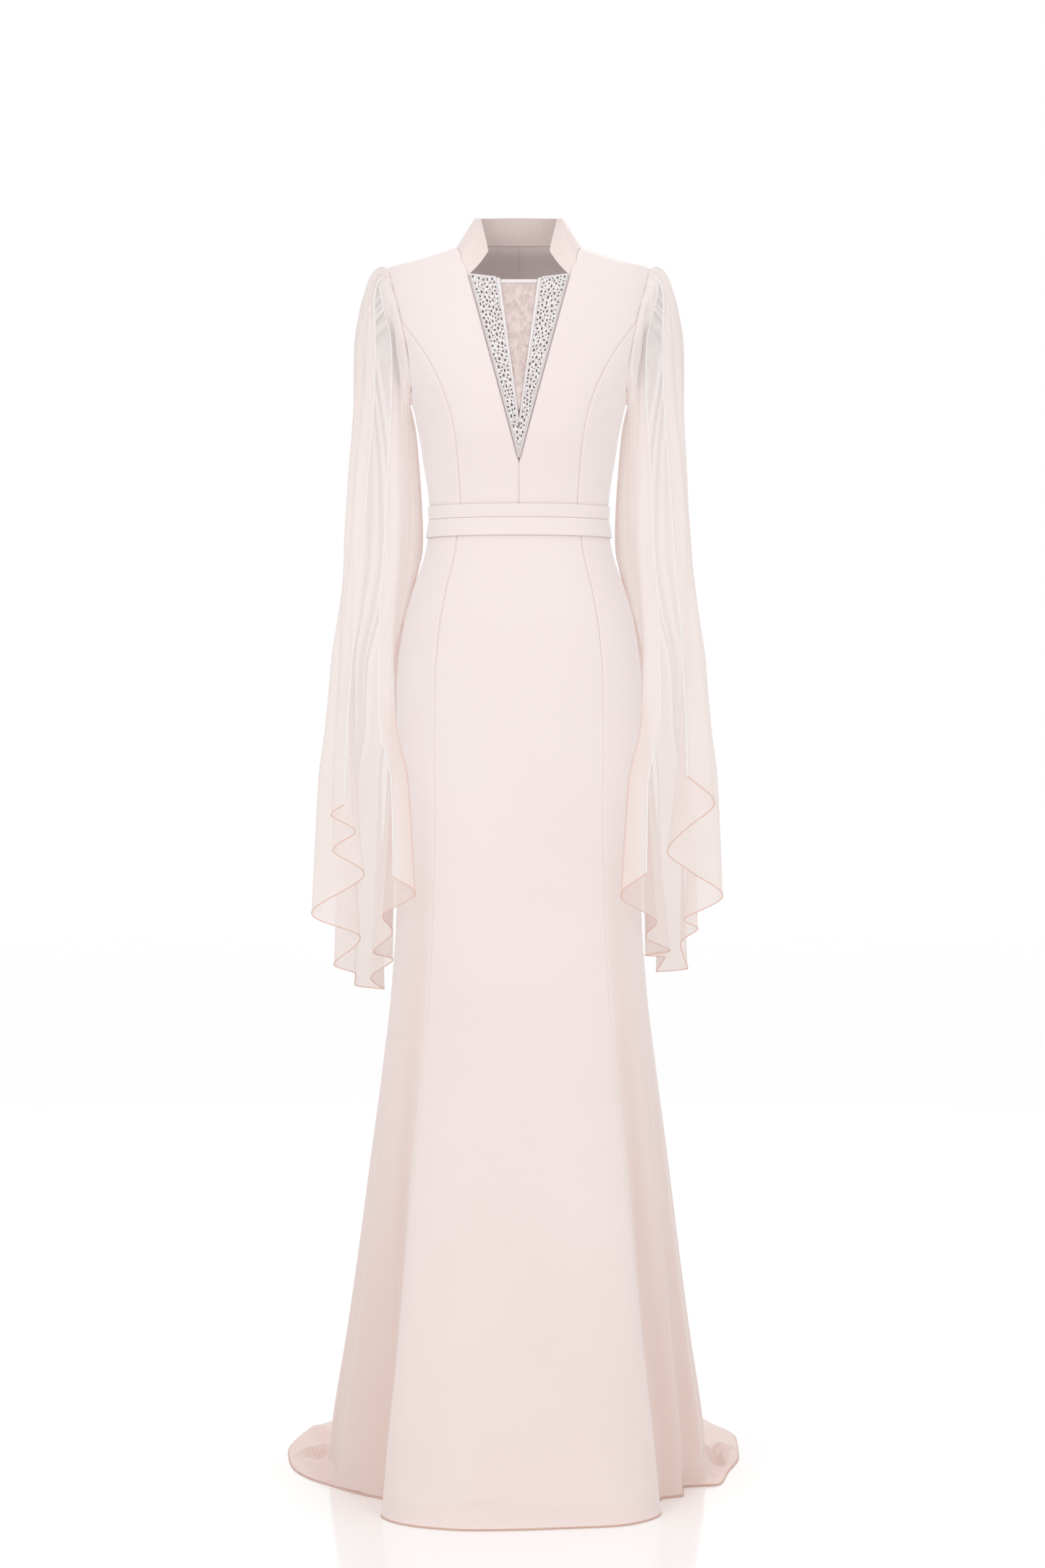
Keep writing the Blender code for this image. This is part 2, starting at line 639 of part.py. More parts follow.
SKIRT_SEAMS = (-90, -42, 42, 90, 180)
SKIRT_NAMES = ("skirt_back_right", "skirt_side_right", "skirt_front", "skirt_side_left",
               "skirt_back_left")
SKIRT_COLUMNS = (11, 10, 14, 10, 11)


def skirt(collection):
    """Five panels cut from one ring of columns, so that they share their seams."""
    rows = np.arange(len(SKIRT_HEIGHTS) + len(SKIRT_SHARES), dtype=float)
    starts = (-180, *SKIRT_SEAMS[:-1])
    turns, bounds = [], [0]
    for start, end, count in zip(starts, SKIRT_SEAMS, SKIRT_COLUMNS):
        turns.extend(np.linspace(start, end, count, endpoint=False))
        bounds.append(bounds[-1] + count)
    grid = np.stack([skirt_column(turn, rows) for turn in turns], 1)
    out = normals(grid, closed=True)
    grid = np.concatenate([grid, grid[:, :1]], 1)
    out = np.concatenate([out, out[:, :1]], 1)
    for name, first, last in zip(SKIRT_NAMES, bounds, bounds[1:]):
        outer = grid[:, first : last + 1]
        inner = outer - CREPE * out[:, first : last + 1]
        wall(name, pulled_in(outer), pulled_in(inner), "crepe", collection)


def armhole_point(turn):
    """A point of the armhole seam and the normal there. Turn 0 is the shoulder, 180 the underarm."""
    middle, half = (SHOULDER_HEIGHT + UNDERARM) / 2, (SHOULDER_HEIGHT - UNDERARM) / 2
    height = middle + half * np.cos(np.radians(turn))
    behind = np.sin(np.radians(turn)) > 0
    spots = []
    for at_back, z in zip(behind, height):
        across = ARMHOLE.at("back" if at_back else "front", z)
        spots.append(float(turn_at(np.array(across), np.array(z), behind=bool(at_back))))
    spots = np.array(spots)
    return torso(spots, height), torso_normals(spots, height)


def clear_of_body(points):
    """Moves points that would lie in the bodice or skirt out to just clear of it."""
    height = points[..., 2]
    for table, low, high in ((SKIRT, 0.5, WAIST_SEAM), (TORSO, WAIST_SEAM, UNDERARM)):
        power = table.at("squareness", height)
        wide = table.at("half_width", height) + BODY_CLEARANCE
        deep = np.where(points[..., 1] < 0, table.at("front", height), table.at("back", height))
        deep = deep + BODY_CLEARANCE
        reach = (np.abs(points[..., 0]) / wide) ** power + (np.abs(points[..., 1]) / deep) ** power
        reach = reach ** (1 / power)
        grow = np.where((height > low) & (height <= high), 1 / np.minimum(reach, 1), 1.0)
        points[..., 0] *= grow
        points[..., 1] *= grow
    return points


def sleeve_surface(folds, edges, fall):
    """The sleeve's middle surface at fold edges (0 to the last) by fall (0 armhole, 1 hem)."""
    count = folds.key[-1]
    start, out = armhole_point(folds.at("armhole_turn", edges))
    start = start + out * (SEAM_GAP + CHIFFON / 2)
    loop_height = np.minimum(SLEEVE_RINGS.key[-1], start[:, 2] - SLEEVE_DROP)
    hem_height = folds.at("height", edges)

    def hanging(height):
        opening = SLEEVE_RINGS.at("outer_edge", height)
        closing = SLEEVE_RINGS.at("inner_edge", height)
        angle = np.radians(opening + (360 - opening + closing) * edges / count)
        across = SLEEVE_RINGS.at("centre", height)
        across = across + SLEEVE_RINGS.at("half_across", height) * np.sin(angle)
        back = -SLEEVE_RINGS.at("half_deep", height) * np.cos(angle) + ARM_BACK
        return np.stack([across, back, height], -1)

    foot = hanging(hem_height)
    hem = np.stack([folds.at("across", edges), folds.at("back", edges), hem_height], -1)
    at_shoulder = np.clip(np.cos(np.radians(folds.at("armhole_turn", edges))), 0, 1)
    lean = SLEEVE_LEAN + SHOULDER_LEAN * at_shoulder[:, None]
    leave = (out + np.array([SLEEVE_OUTWARD, 0, 0])) * lean
    arrive = np.array([0, 0, -1.0]) * (ARRIVE_BASE + ARRIVE_BY_LEAN * lean)
    loop = hanging(loop_height)
    rows = []
    for share in fall:
        if share >= SLEEVE_EASE:
            drop = (share - SLEEVE_EASE) / (1 - SLEEVE_EASE)
            height = loop_height + (hem_height - loop_height) * drop
            row = hanging(height) + (hem - foot) * drop**FOLD_GROWTH
        else:
            t = share / SLEEVE_EASE
            row = (
                start * ((1 + 2 * t) * (1 - t) ** 2)
                + leave * (t * (1 - t) ** 2)
                + loop * (t * t * (3 - 2 * t))
                + arrive * (t * t * (t - 1))
            )
            gather = GATHER_DEPTH * math.sin(math.pi * t) * np.cos(2 * math.pi * edges)
            row = row + out * gather[:, None]
        rows.append(clear_of_body(row))
    return np.stack(rows)


SLEEVE_FALL = (0, 0.03, 0.07, 0.13, 0.19, 0.25, 0.33, 0.42, 0.51, 0.60, 0.69, 0.78, 0.86, 0.93, 1)
STEPS_PER_FOLD = 3


def sleeves(collection):
    for name, folds, mirror in (
        ("sleeve_left", LEFT_SLEEVE, 1),
        ("sleeve_right", RIGHT_SLEEVE, -1),
    ):
        count = int(folds.key[-1])
        edges = np.linspace(0, count, count * STEPS_PER_FOLD + 1)
        middle = sleeve_surface(folds, edges, SLEEVE_FALL)
        out = normals(middle)
        sides = [middle + side * CHIFFON / 2 * out for side in (1, -1)]
        for grid in sides:
            grid[..., 0] *= mirror
        wall(name, sides[0], sides[1], "chiffon", collection)


def main():
    for old in list(bpy.data.objects):
        bpy.data.objects.remove(old, do_unlink=True)
    gown = bpy.data.collections.new("gown")
    bpy.context.scene.collection.children.link(gown)
    bodice(gown)
    v_trim(gown)
    stand_collar(gown)
    waistband(gown)
    skirt(gown)
    sleeves(gown)


main()
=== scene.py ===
"""The gown's cloth, with a camera, a pale floor and studio light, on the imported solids.

Metres, +Z up. The front faces -Y and the left, as worn, is +X. Heights in the tables are
measured up from the floor, which is SHOULDER_HEIGHT below the origin. A turn is an angle in
degrees round the gown: 0 at the centre front, 90 at its left side, 180 at the back.
"""

import math
import random

import bpy
import numpy as np
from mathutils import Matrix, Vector, noise


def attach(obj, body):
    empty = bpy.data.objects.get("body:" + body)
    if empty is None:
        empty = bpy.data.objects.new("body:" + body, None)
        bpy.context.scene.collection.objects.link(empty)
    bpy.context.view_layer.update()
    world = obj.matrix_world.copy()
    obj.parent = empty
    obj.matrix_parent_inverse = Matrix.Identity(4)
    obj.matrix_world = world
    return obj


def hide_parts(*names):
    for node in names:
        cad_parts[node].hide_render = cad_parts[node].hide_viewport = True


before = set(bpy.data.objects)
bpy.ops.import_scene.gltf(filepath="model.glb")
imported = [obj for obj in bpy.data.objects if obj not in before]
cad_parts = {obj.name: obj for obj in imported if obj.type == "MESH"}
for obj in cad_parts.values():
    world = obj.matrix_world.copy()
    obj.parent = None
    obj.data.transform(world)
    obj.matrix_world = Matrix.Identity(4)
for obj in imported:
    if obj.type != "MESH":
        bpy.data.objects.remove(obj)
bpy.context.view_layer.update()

# Driving dimensions
SHOULDER_HEIGHT = 1.570
WAIST_SEAM = 1.2410
BAND_TOP = 1.2610
BAND_SPLIT = 1.2440
BAND_BOTTOM = 1.2210
UNDERARM = 1.395
NECK_POINT = 1.600

CREPE = 0.0020
CHIFFON = 0.0012
BAND_THICK = 0.0022
TRIM_THICK = 0.0016
LACE_THICK = 0.0010
SEAM_GAP = 0.0003
TRIM_PROUD = 0.0008
BAND_EASE = 0.0006
BAND_PROUD = 0.0008
BAND_END_TURN = 179.9

# Cups shaped by the princess seams
CUP_ACROSS = 0.085
CUP_HEIGHT = 1.362
CUP_DEPTH = 0.008
CUP_WIDTH = 0.045
CUP_TALL = 0.050

# V trim and insert, in the front view
TRIM_CORNER = (0.0647, 1.5549)
TRIM_TIP = 1.3124
TRIM_CUT = 0.0060
INNER_CORNER = (0.0242, 1.5499)
INNER_TIP = 1.3657
BINDING_WIDTH = 0.0046
INSERT_TOP = 1.5485
INSERT_BINDING = 0.0052
INSERT_TUCK = 0.0030
BINDINGS_MEET = 0.0127
BINDING_RISE = 0.008
LACE_RISE = 0.012

# Half of the neck seam from the trim's corner to the shoulder, in the front view, then as
# turns from the shoulder to the centre back
NECK_FRONT = (TRIM_CORNER, (0.0690, 1.5680), (0.0740, 1.5810), (0.0775, 1.5925))
NECK_BACK = ((90, 1.6000), (112, 1.6040), (135, 1.6075), (158, 1.6095), (180, 1.6100))

# Rows of the bodice panels: each pair of edges that meets has the same number of them
PRINCESS_ROWS = 11
SIDE_SEAM_ROWS = 7
FRONT_ARMHOLE_HEIGHTS = (1.508, 1.524, 1.538, 1.550, 1.561)
SIDE_ARMHOLE_HEIGHTS = (1.406, 1.432, 1.462, 1.489)
BACK_ARMHOLE_HEIGHTS = (*SIDE_ARMHOLE_HEIGHTS, 1.515, 1.540, 1.558)

# How far round from the front end each of those points is, as a share of half the collar
COLLAR_SHARES = (0.0, 0.12, 0.24, 0.34, 0.44, 0.58, 0.72, 0.86, 1.0)
COLLAR_END_REACH = 0.30

# Skirt folds grow in from FOLD_TOP down to the floor, slowly at first
FOLD_TOP = 0.62
SKIRT_GROWTH = 1.5
FLOOR_BEND = 0.045

# Points of a skirt column's path that are measured down to the floor, then along it
FALL_POINTS = 60
FLOOR_POINTS = 30

# The sleeve leaves its armhole with a lean, greatest at the shoulder, and hangs straight below
# SLEEVE_EASE of its fall
GATHER_DEPTH = 0.0016
BODY_CLEARANCE = 0.0052
FOLD_GROWTH = 1.7
SLEEVE_EASE = 0.24
SLEEVE_DROP = 0.045
SLEEVE_LEAN = 0.018
SHOULDER_LEAN = 0.045
SLEEVE_OUTWARD = 0.5
ARRIVE_BASE, ARRIVE_BY_LEAN = 0.05, 0.6
TUBE_BACK = 0.005

# The sleeve is kept clear of the skirt and bodice from this height up to the underarm
CLEAR_FROM = 0.5

# Times that the search for a turn halves its range
HALVINGS = 26


class Table:
    """Rows with named columns. at() reads a column along a smooth curve that never overshoots."""

    def __init__(self, columns, rows):
        values = np.array(sorted(rows), float).T
        self.key = values[0]
        self.values = dict(zip(columns, values))

    def at(self, column, where):
        keys, values = self.key, self.values[column]
        step = np.diff(keys)
        rise = np.diff(values) / step
        slopes = np.concatenate([rise[:1], np.zeros(len(keys) - 2), rise[-1:]])
        same = rise[:-1] * rise[1:] > 0
        before, after = 2 * step[1:] + step[:-1], step[1:] + 2 * step[:-1]
        with np.errstate(divide="ignore", invalid="ignore"):
            mean = (before + after) / (before / rise[:-1] + after / rise[1:])
        slopes[1:-1] = np.where(same, mean, 0.0)
        where = np.clip(where, keys[0], keys[-1])
        i = np.clip(np.searchsorted(keys, where) - 1, 0, len(keys) - 2)
        t = (where - keys[i]) / step[i]
        start, end = values[i], values[i + 1]
        lead, trail = slopes[i] * step[i], slopes[i + 1] * step[i]
        return (
            start * (1 + 2 * t) * (1 - t) ** 2
            + lead * t * (1 - t) ** 2
            + end * t * t * (3 - 2 * t)
            + trail * t * t * (t - 1)
        )


SECTION_COLUMNS = ("height", "half_width", "front", "back", "squareness")

TORSO = Table(
    SECTION_COLUMNS,
    (
        (1.241, 0.1137, 0.090, 0.072, 2.1),
        (1.281, 0.1175, 0.096, 0.074, 2.1),
        (1.318, 0.1235, 0.107, 0.082, 2.1),
        (1.356, 0.1295, 0.119, 0.091, 2.1),
        (1.395, 0.1385, 0.118, 0.098, 2.1),
        (1.430, 0.1500, 0.111, 0.102, 2.2),
        (1.470, 0.1625, 0.100, 0.103, 2.2),
        (1.510, 0.1720, 0.088, 0.101, 2.2),
        (1.545, 0.1745, 0.077, 0.096, 2.1),
        (1.570, 0.1700, 0.068, 0.089, 2.0),
        (1.581, 0.1330, 0.063, 0.084, 2.0),
        (1.592, 0.0970, 0.056, 0.076, 2.0),
        (1.600, 0.0790, 0.046, 0.070, 2.0),
        (1.612, 0.0700, 0.040, 0.064, 2.0),
    ),
)

SKIRT = Table(
    SECTION_COLUMNS,
    (
        (0.000, 0.2500, 0.280, 0.300, 2.3),
        (0.080, 0.2400, 0.250, 0.265, 2.3),
        (0.180, 0.2240, 0.217, 0.225, 2.3),
        (0.300, 0.2070, 0.186, 0.185, 2.3),
        (0.420, 0.1915, 0.160, 0.155, 2.3),
        (0.530, 0.1775, 0.140, 0.135, 2.2),
        (0.640, 0.1650, 0.126, 0.121, 2.2),
        (0.750, 0.1585, 0.117, 0.114, 2.2),
        (0.850, 0.1575, 0.112, 0.113, 2.1),
        (0.950, 0.1590, 0.109, 0.116, 2.1),
        (1.030, 0.1585, 0.108, 0.119, 2.1),
        (1.100, 0.1510, 0.106, 0.114, 2.1),
        (1.150, 0.1385, 0.102, 0.103, 2.1),
        (1.200, 0.1215, 0.095, 0.085, 2.1),
        (1.241, 0.1137, 0.090, 0.072, 2.1),
    ),
)

# Where the skirt stands on the floor and where its hem lies, a row for each fold edge
HEM_COLUMNS = ("turn", "stand_across", "stand_back", "hem_across", "hem_back", "lift")
HEM_ROWS = (
    (-168, -0.050, 0.292, -0.095, 0.540, 0.002),
    (-155, -0.108, 0.285, -0.180, 0.485, 0.012),
    (-141, -0.150, 0.236, -0.250, 0.402, 0.002),
    (-127, -0.208, 0.198, -0.306, 0.290, 0.013),
    (-112, -0.228, 0.128, -0.321, 0.180, 0.003),
    (-97, -0.252, 0.062, -0.308, 0.072, 0.010),
    (-84, -0.240, 0.006, -0.278, 0.000, 0.002),
    (-73, -0.232, -0.045, -0.244, -0.036, 0.004),
    (-62, -0.196, -0.092, -0.201, -0.086, 0.000),
    (-52, -0.158, -0.132, -0.160, -0.130, 0.000),
    (-45, -0.162, -0.178, -0.162, -0.178, 0.000),
    (-42, -0.170, -0.204, -0.170, -0.204, 0.000),
    (-38, -0.160, -0.230, -0.160, -0.230, 0.000),
    (-28, -0.118, -0.265, -0.118, -0.265, 0.000),
    (-13, -0.055, -0.281, -0.055, -0.281, 0.000),
    (0, 0.000, -0.278, 0.000, -0.278, 0.000),
    (13, 0.055, -0.270, 0.055, -0.270, 0.000),
    (28, 0.120, -0.258, 0.120, -0.258, 0.000),
    (38, 0.164, -0.222, 0.164, -0.222, 0.000),
    (42, 0.176, -0.192, 0.176, -0.192, 0.000),
    (46, 0.171, -0.160, 0.171, -0.160, 0.000),
    (53, 0.180, -0.112, 0.181, -0.110, 0.000),
    (60, 0.208, -0.094, 0.210, -0.092, 0.000),
    (68, 0.206, -0.052, 0.212, -0.046, 0.003),
    (78, 0.240, -0.030, 0.262, -0.034, 0.008),
    (91, 0.243, 0.030, 0.282, 0.050, 0.002),
    (105, 0.246, 0.098, 0.302, 0.140, 0.012),
    (121, 0.205, 0.168, 0.306, 0.262, 0.002),
    (136, 0.186, 0.232, 0.262, 0.378, 0.014),
    (151, 0.120, 0.262, 0.186, 0.474, 0.003),
    (166, 0.060, 0.300, 0.098, 0.538, 0.010),
    (180, 0.000, 0.286, 0.000, 0.556, 0.002),
)
TURN_ROUND = 360
HEM = Table(
    HEM_COLUMNS,
    [(row[0] - TURN_ROUND, *row[1:]) for row in HEM_ROWS if row[0] > 90]
    + list(HEM_ROWS)
    + [(row[0] + TURN_ROUND, *row[1:]) for row in HEM_ROWS if row[0] < -90],
)

# Seams and edges in the front view
PRINCESS = Table(
    ("height", "across"),
    (
        (1.2407, 0.0745),
        (1.2637, 0.0754),
        (1.3236, 0.0793),
        (1.3636, 0.0850),
        (1.3995, 0.0950),
        (1.4366, 0.1112),
        (1.4705, 0.1318),
        (1.4955, 0.1503),
    ),
)
ARMHOLE = Table(
    ("height", "front", "back"),
    (
        (1.3950, 0.1384, 0.1384),
        (1.4020, 0.1380, 0.1390),
        (1.4200, 0.1395, 0.1420),
        (1.4600, 0.1445, 0.1480),
        (1.5000, 0.1515, 0.1545),
        (1.5350, 0.1610, 0.1625),
        (1.5580, 0.1672, 0.1680),
        (1.5700, 0.1700, 0.1700),
    ),
)
# The collar's front end runs from its base corner out to a tip, then back up to its top
PLACE_COLUMNS = ("across", "back", "height")
COLLAR_END = Table(
    ("share", *PLACE_COLUMNS),
    (
        (0.00, 0.0647, -0.0670, 1.5550),
        (0.45, 0.0395, -0.0680, 1.5850),
        (0.60, 0.0425, -0.0610, 1.6000),
        (1.00, 0.0500, -0.0400, 1.6300),
    ),
)
COLLAR_TOP = Table(
    ("share", *PLACE_COLUMNS),
    (
        (0.00, 0.0500, -0.0400, 1.6300),
        (0.24, 0.0562, -0.0180, 1.6340),
        (0.44, 0.0575, 0.0060, 1.6370),
        (0.65, 0.0470, 0.0350, 1.6410),
        (0.85, 0.0220, 0.0545, 1.6440),
        (1.00, 0.0000, 0.0590, 1.6450),
    ),
)

# The sleeve hangs from the armhole as an upright tube, open at the front
SLEEVE_RINGS = Table(
    ("height", "centre", "half_across", "half_deep", "outer_edge", "inner_edge"),
    (
        (1.470, 0.1830, 0.0292, 0.046, 1.0, -42.0),
        (1.356, 0.1758, 0.0402, 0.055, 19.0, -14.0),
        (1.281, 0.1759, 0.0469, 0.060, 23.6, -8.5),
        (1.206, 0.1775, 0.0510, 0.064, 25.0, -6.0),
        (1.131, 0.1870, 0.0470, 0.067, 24.0, -12.0),
        (1.056, 0.1965, 0.0435, 0.069, 19.0, -25.0),
        (0.981, 0.1988, 0.0468, 0.072, 20.0, -27.0),
        (0.906, 0.1995, 0.0520, 0.076, 19.0, -45.0),
        (0.640, 0.2010, 0.0560, 0.082, 19.0, -50.0),
    ),
)

# A row for each fold edge of a sleeve, from the outer slit edge to the inner one: its turn at
# the armhole, then across, back and height of its point of the right hem and of the left one
SLEEVE_FOLDS = (
    (-32, (0.2237, -0.060, 0.877), (0.2153, -0.065, 0.914)),
    (-20, (0.2410, -0.045, 0.864), (0.2510, -0.045, 0.879)),
    (-9, (0.2110, -0.030, 0.842), (0.2165, -0.028, 0.846)),
    (2, (0.2406, -0.008, 0.817), (0.1920, -0.010, 0.816)),
    (13, (0.2010, 0.005, 0.785), (0.2226, 0.000, 0.789)),
    (25, (0.2707, 0.030, 0.733), (0.2655, 0.020, 0.756)),
    (38, (0.2078, 0.045, 0.700), (0.2164, 0.045, 0.724)),
    (51, (0.2433, 0.065, 0.664), (0.2350, 0.062, 0.711)),
    (65, (0.2157, 0.080, 0.650), (0.2130, 0.078, 0.690)),
    (80, (0.2175, 0.098, 0.634), (0.2236, 0.098, 0.656)),
    (100, (0.1785, 0.108, 0.628), (0.1820, 0.108, 0.651)),
    (120, (0.1960, 0.080, 0.645), (0.1930, 0.080, 0.672)),
    (142, (0.1660, 0.062, 0.670), (0.1660, 0.062, 0.676)),
    (165, (0.1910, 0.040, 0.682), (0.1980, 0.038, 0.684)),
    (195, (0.1640, 0.004, 0.711), (0.1640, 0.002, 0.705)),
    (232, (0.1756, -0.035, 0.733), (0.1775, -0.035, 0.726)),
    (280, (0.1312, -0.110, 0.766), (0.1288, -0.110, 0.763)),
    (328, (0.1590, -0.105, 0.787), (0.1616, -0.105, 0.792)),
)
RIGHT_SLEEVE, LEFT_SLEEVE = (
    Table(
        ("edge", "armhole_turn", "across", "back", "height"),
        [(edge, row[0], *row[hem]) for edge, row in enumerate(SLEEVE_FOLDS)],
    )
    for hem in (1, 2)
)

# Skirt rows: heights above the last of which each column's remaining length is shared out
SKIRT_HEIGHTS = (
    1.2407, 1.2205, 1.185, 1.140, 1.090, 1.030, 0.950, 0.860, 0.760, 0.650, 0.530, 0.410, 0.300,
)
SKIRT_SHARES = (0.22, 0.44, 0.62, 0.76, 0.88, 1.0)


def ring(table, turn, height):
    """A point of a section, squarer than an ellipse where its squareness is over 2."""
    sine, cosine = np.sin(np.radians(turn)), np.cos(np.radians(turn))
    power = table.at("squareness", height)
    swell = (np.abs(sine) ** power + np.abs(cosine) ** power) ** (-1 / power)
    depth = np.where(cosine > 0, table.at("front", height), table.at("back", height))
    across = table.at("half_width", height) * swell * sine
    return np.stack([across, -depth * swell * cosine, height + 0 * across], -1)


def torso(turn, height):
    """The bodice's outer surface."""
    turn, height = np.broadcast_arrays(np.asarray(turn, float), np.asarray(height, float))
    points = ring(TORSO, turn, height)
    sideways = (np.abs(points[..., 0]) - CUP_ACROSS) / CUP_WIDTH
    upward = (height - CUP_HEIGHT) / CUP_TALL
    facing = np.clip(np.cos(np.radians(turn)), 0, 1)
    points[..., 1] -= CUP_DEPTH * np.exp(-(sideways**2) - upward**2) * facing
    return points


def turn_at(across, height, behind=False):
    """The turn at which the torso's front, or its back, is this far across."""
    across, height = np.asarray(across, float), np.asarray(height, float)
    low, high = np.zeros(across.shape), np.full(across.shape, 90.0)
    for _ in range(HALVINGS):
        middle = (low + high) / 2
        short = torso(180 - middle if behind else middle, height)[..., 0] < np.abs(across)
        low, high = np.where(short, middle, low), np.where(short, high, middle)
    return 180 - middle if behind else middle


def unit(vectors):
    return vectors / np.linalg.norm(vectors, axis=-1, keepdims=True)


def normals(points):
    """Unit normals of a grid of points, from its neighbours along rows and columns."""
    return unit(np.cross(np.gradient(points, axis=0), np.gradient(points, axis=1)))


def torso_normals(turn, height):
    """Outward normals of the torso, the same for every piece that meets at a seam."""
    small_turn, small_rise = 0.3, 0.0008
    round_it = torso(turn + small_turn, height) - torso(turn - small_turn, height)
    up_it = torso(turn, height + small_rise) - torso(turn, height - small_rise)
    return unit(np.cross(round_it, up_it))


def front_edge(across, height):
    return np.stack([turn_at(across, height), height], -1)


def neck_seam():
    """The (turn, height) of the neck seam's points, from the trim's corner to the centre back."""
    front = front_edge(*np.array(NECK_FRONT).T)
    return np.concatenate([front, np.array(NECK_BACK)])


def skirt_fall(turn, height):
    """The skirt above the floor: its section with the folds grown in towards the hem."""
    points = ring(SKIRT, turn, height)
    foot = ring(SKIRT, turn, np.zeros_like(height))
    growth = np.clip(1 - height / FOLD_TOP, 0, 1) ** SKIRT_GROWTH
    points[..., 0] += growth * (HEM.at("stand_across", turn) - foot[..., 0])
    points[..., 1] += growth * (HEM.at("stand_back", turn) - foot[..., 1])
    return points


def skirt_column(turn, rows):
    """One column of the skirt. rows counts SKIRT_HEIGHTS, then SKIRT_SHARES."""
    last = len(SKIRT_HEIGHTS) - 1
    share = np.interp(rows, last + np.arange(len(SKIRT_SHARES) + 1), (0.0, *SKIRT_SHARES))
    height = np.interp(rows, np.arange(last + 1), SKIRT_HEIGHTS)
    column = skirt_fall(np.full_like(height, turn), height)

    heights = np.linspace(SKIRT_HEIGHTS[-1], CREPE, FALL_POINTS)
    path = skirt_fall(np.full_like(heights, turn), heights)
    stand = path[-1, :2]
    hem = np.array([HEM.at("hem_across", turn), HEM.at("hem_back", turn)])
    lying = np.linalg.norm(hem - stand)
    if lying > CREPE:
        outward = (hem - stand) / lying
        bend = min(FLOOR_BEND, lying / 2)
        near = np.clip(1 - heights / bend, 0, 1)
        path[:, :2] += np.outer(bend * (1 - np.sqrt(1 - near**2)), outward)
        far = np.linspace(0, 1, FLOOR_POINTS)[1:]
        floor = np.empty((len(far), 3))
        floor[:, :2] = path[-1, :2] + np.outer(far * (lying - bend), outward)
        floor[:, 2] = CREPE + HEM.at("lift", turn) * np.sin(far * math.pi / 2) ** 2
        path = np.concatenate([path, floor])
    steps = np.linalg.norm(np.diff(path, axis=0), axis=1)
    along = np.concatenate([[0], np.cumsum(steps)]) / steps.sum()
    below = rows > last
    for axis in range(3):
        column[below, axis] = np.interp(share[below], along, path[:, axis])
    return column


SKIRT_SEAMS = (-90, -42, 42, 90, 180)
SKIRT_NAMES = ("skirt_back_right", "skirt_side_right", "skirt_front", "skirt_side_left",
               "skirt_back_left")


def armhole_point(turn):
    """Points of the armhole seam and their normals. Turn 0 is the shoulder, 180 the underarm."""
    middle, half = (SHOULDER_HEIGHT + UNDERARM) / 2, (SHOULDER_HEIGHT - UNDERARM) / 2
    height = middle + half * np.cos(np.radians(turn))
    behind = np.sin(np.radians(turn)) > 0
    spots = []
    for at_back, z in zip(behind, height):
        across = ARMHOLE.at("back" if at_back else "front", z)
        spots.append(float(turn_at(np.array(across), np.array(z), behind=bool(at_back))))
    spots = np.array(spots)
    return torso(spots, height), torso_normals(spots, height)


def clear_of_body(points):
    """Moves points that would lie in the bodice or skirt out until they are just clear."""
    height = points[..., 2]
    for table, low, high in ((SKIRT, CLEAR_FROM, WAIST_SEAM), (TORSO, WAIST_SEAM, UNDERARM)):
        power = table.at("squareness", height)
        wide = table.at("half_width", height) + BODY_CLEARANCE
        deep = np.where(points[..., 1] < 0, table.at("front", height), table.at("back", height))
        deep = deep + BODY_CLEARANCE
        reach = (np.abs(points[..., 0]) / wide) ** power + (np.abs(points[..., 1]) / deep) ** power
        reach = reach ** (1 / power)
        grow = np.where((height > low) & (height <= high), 1 / np.minimum(reach, 1), 1.0)
        points[..., 0] *= grow
        points[..., 1] *= grow
    return points


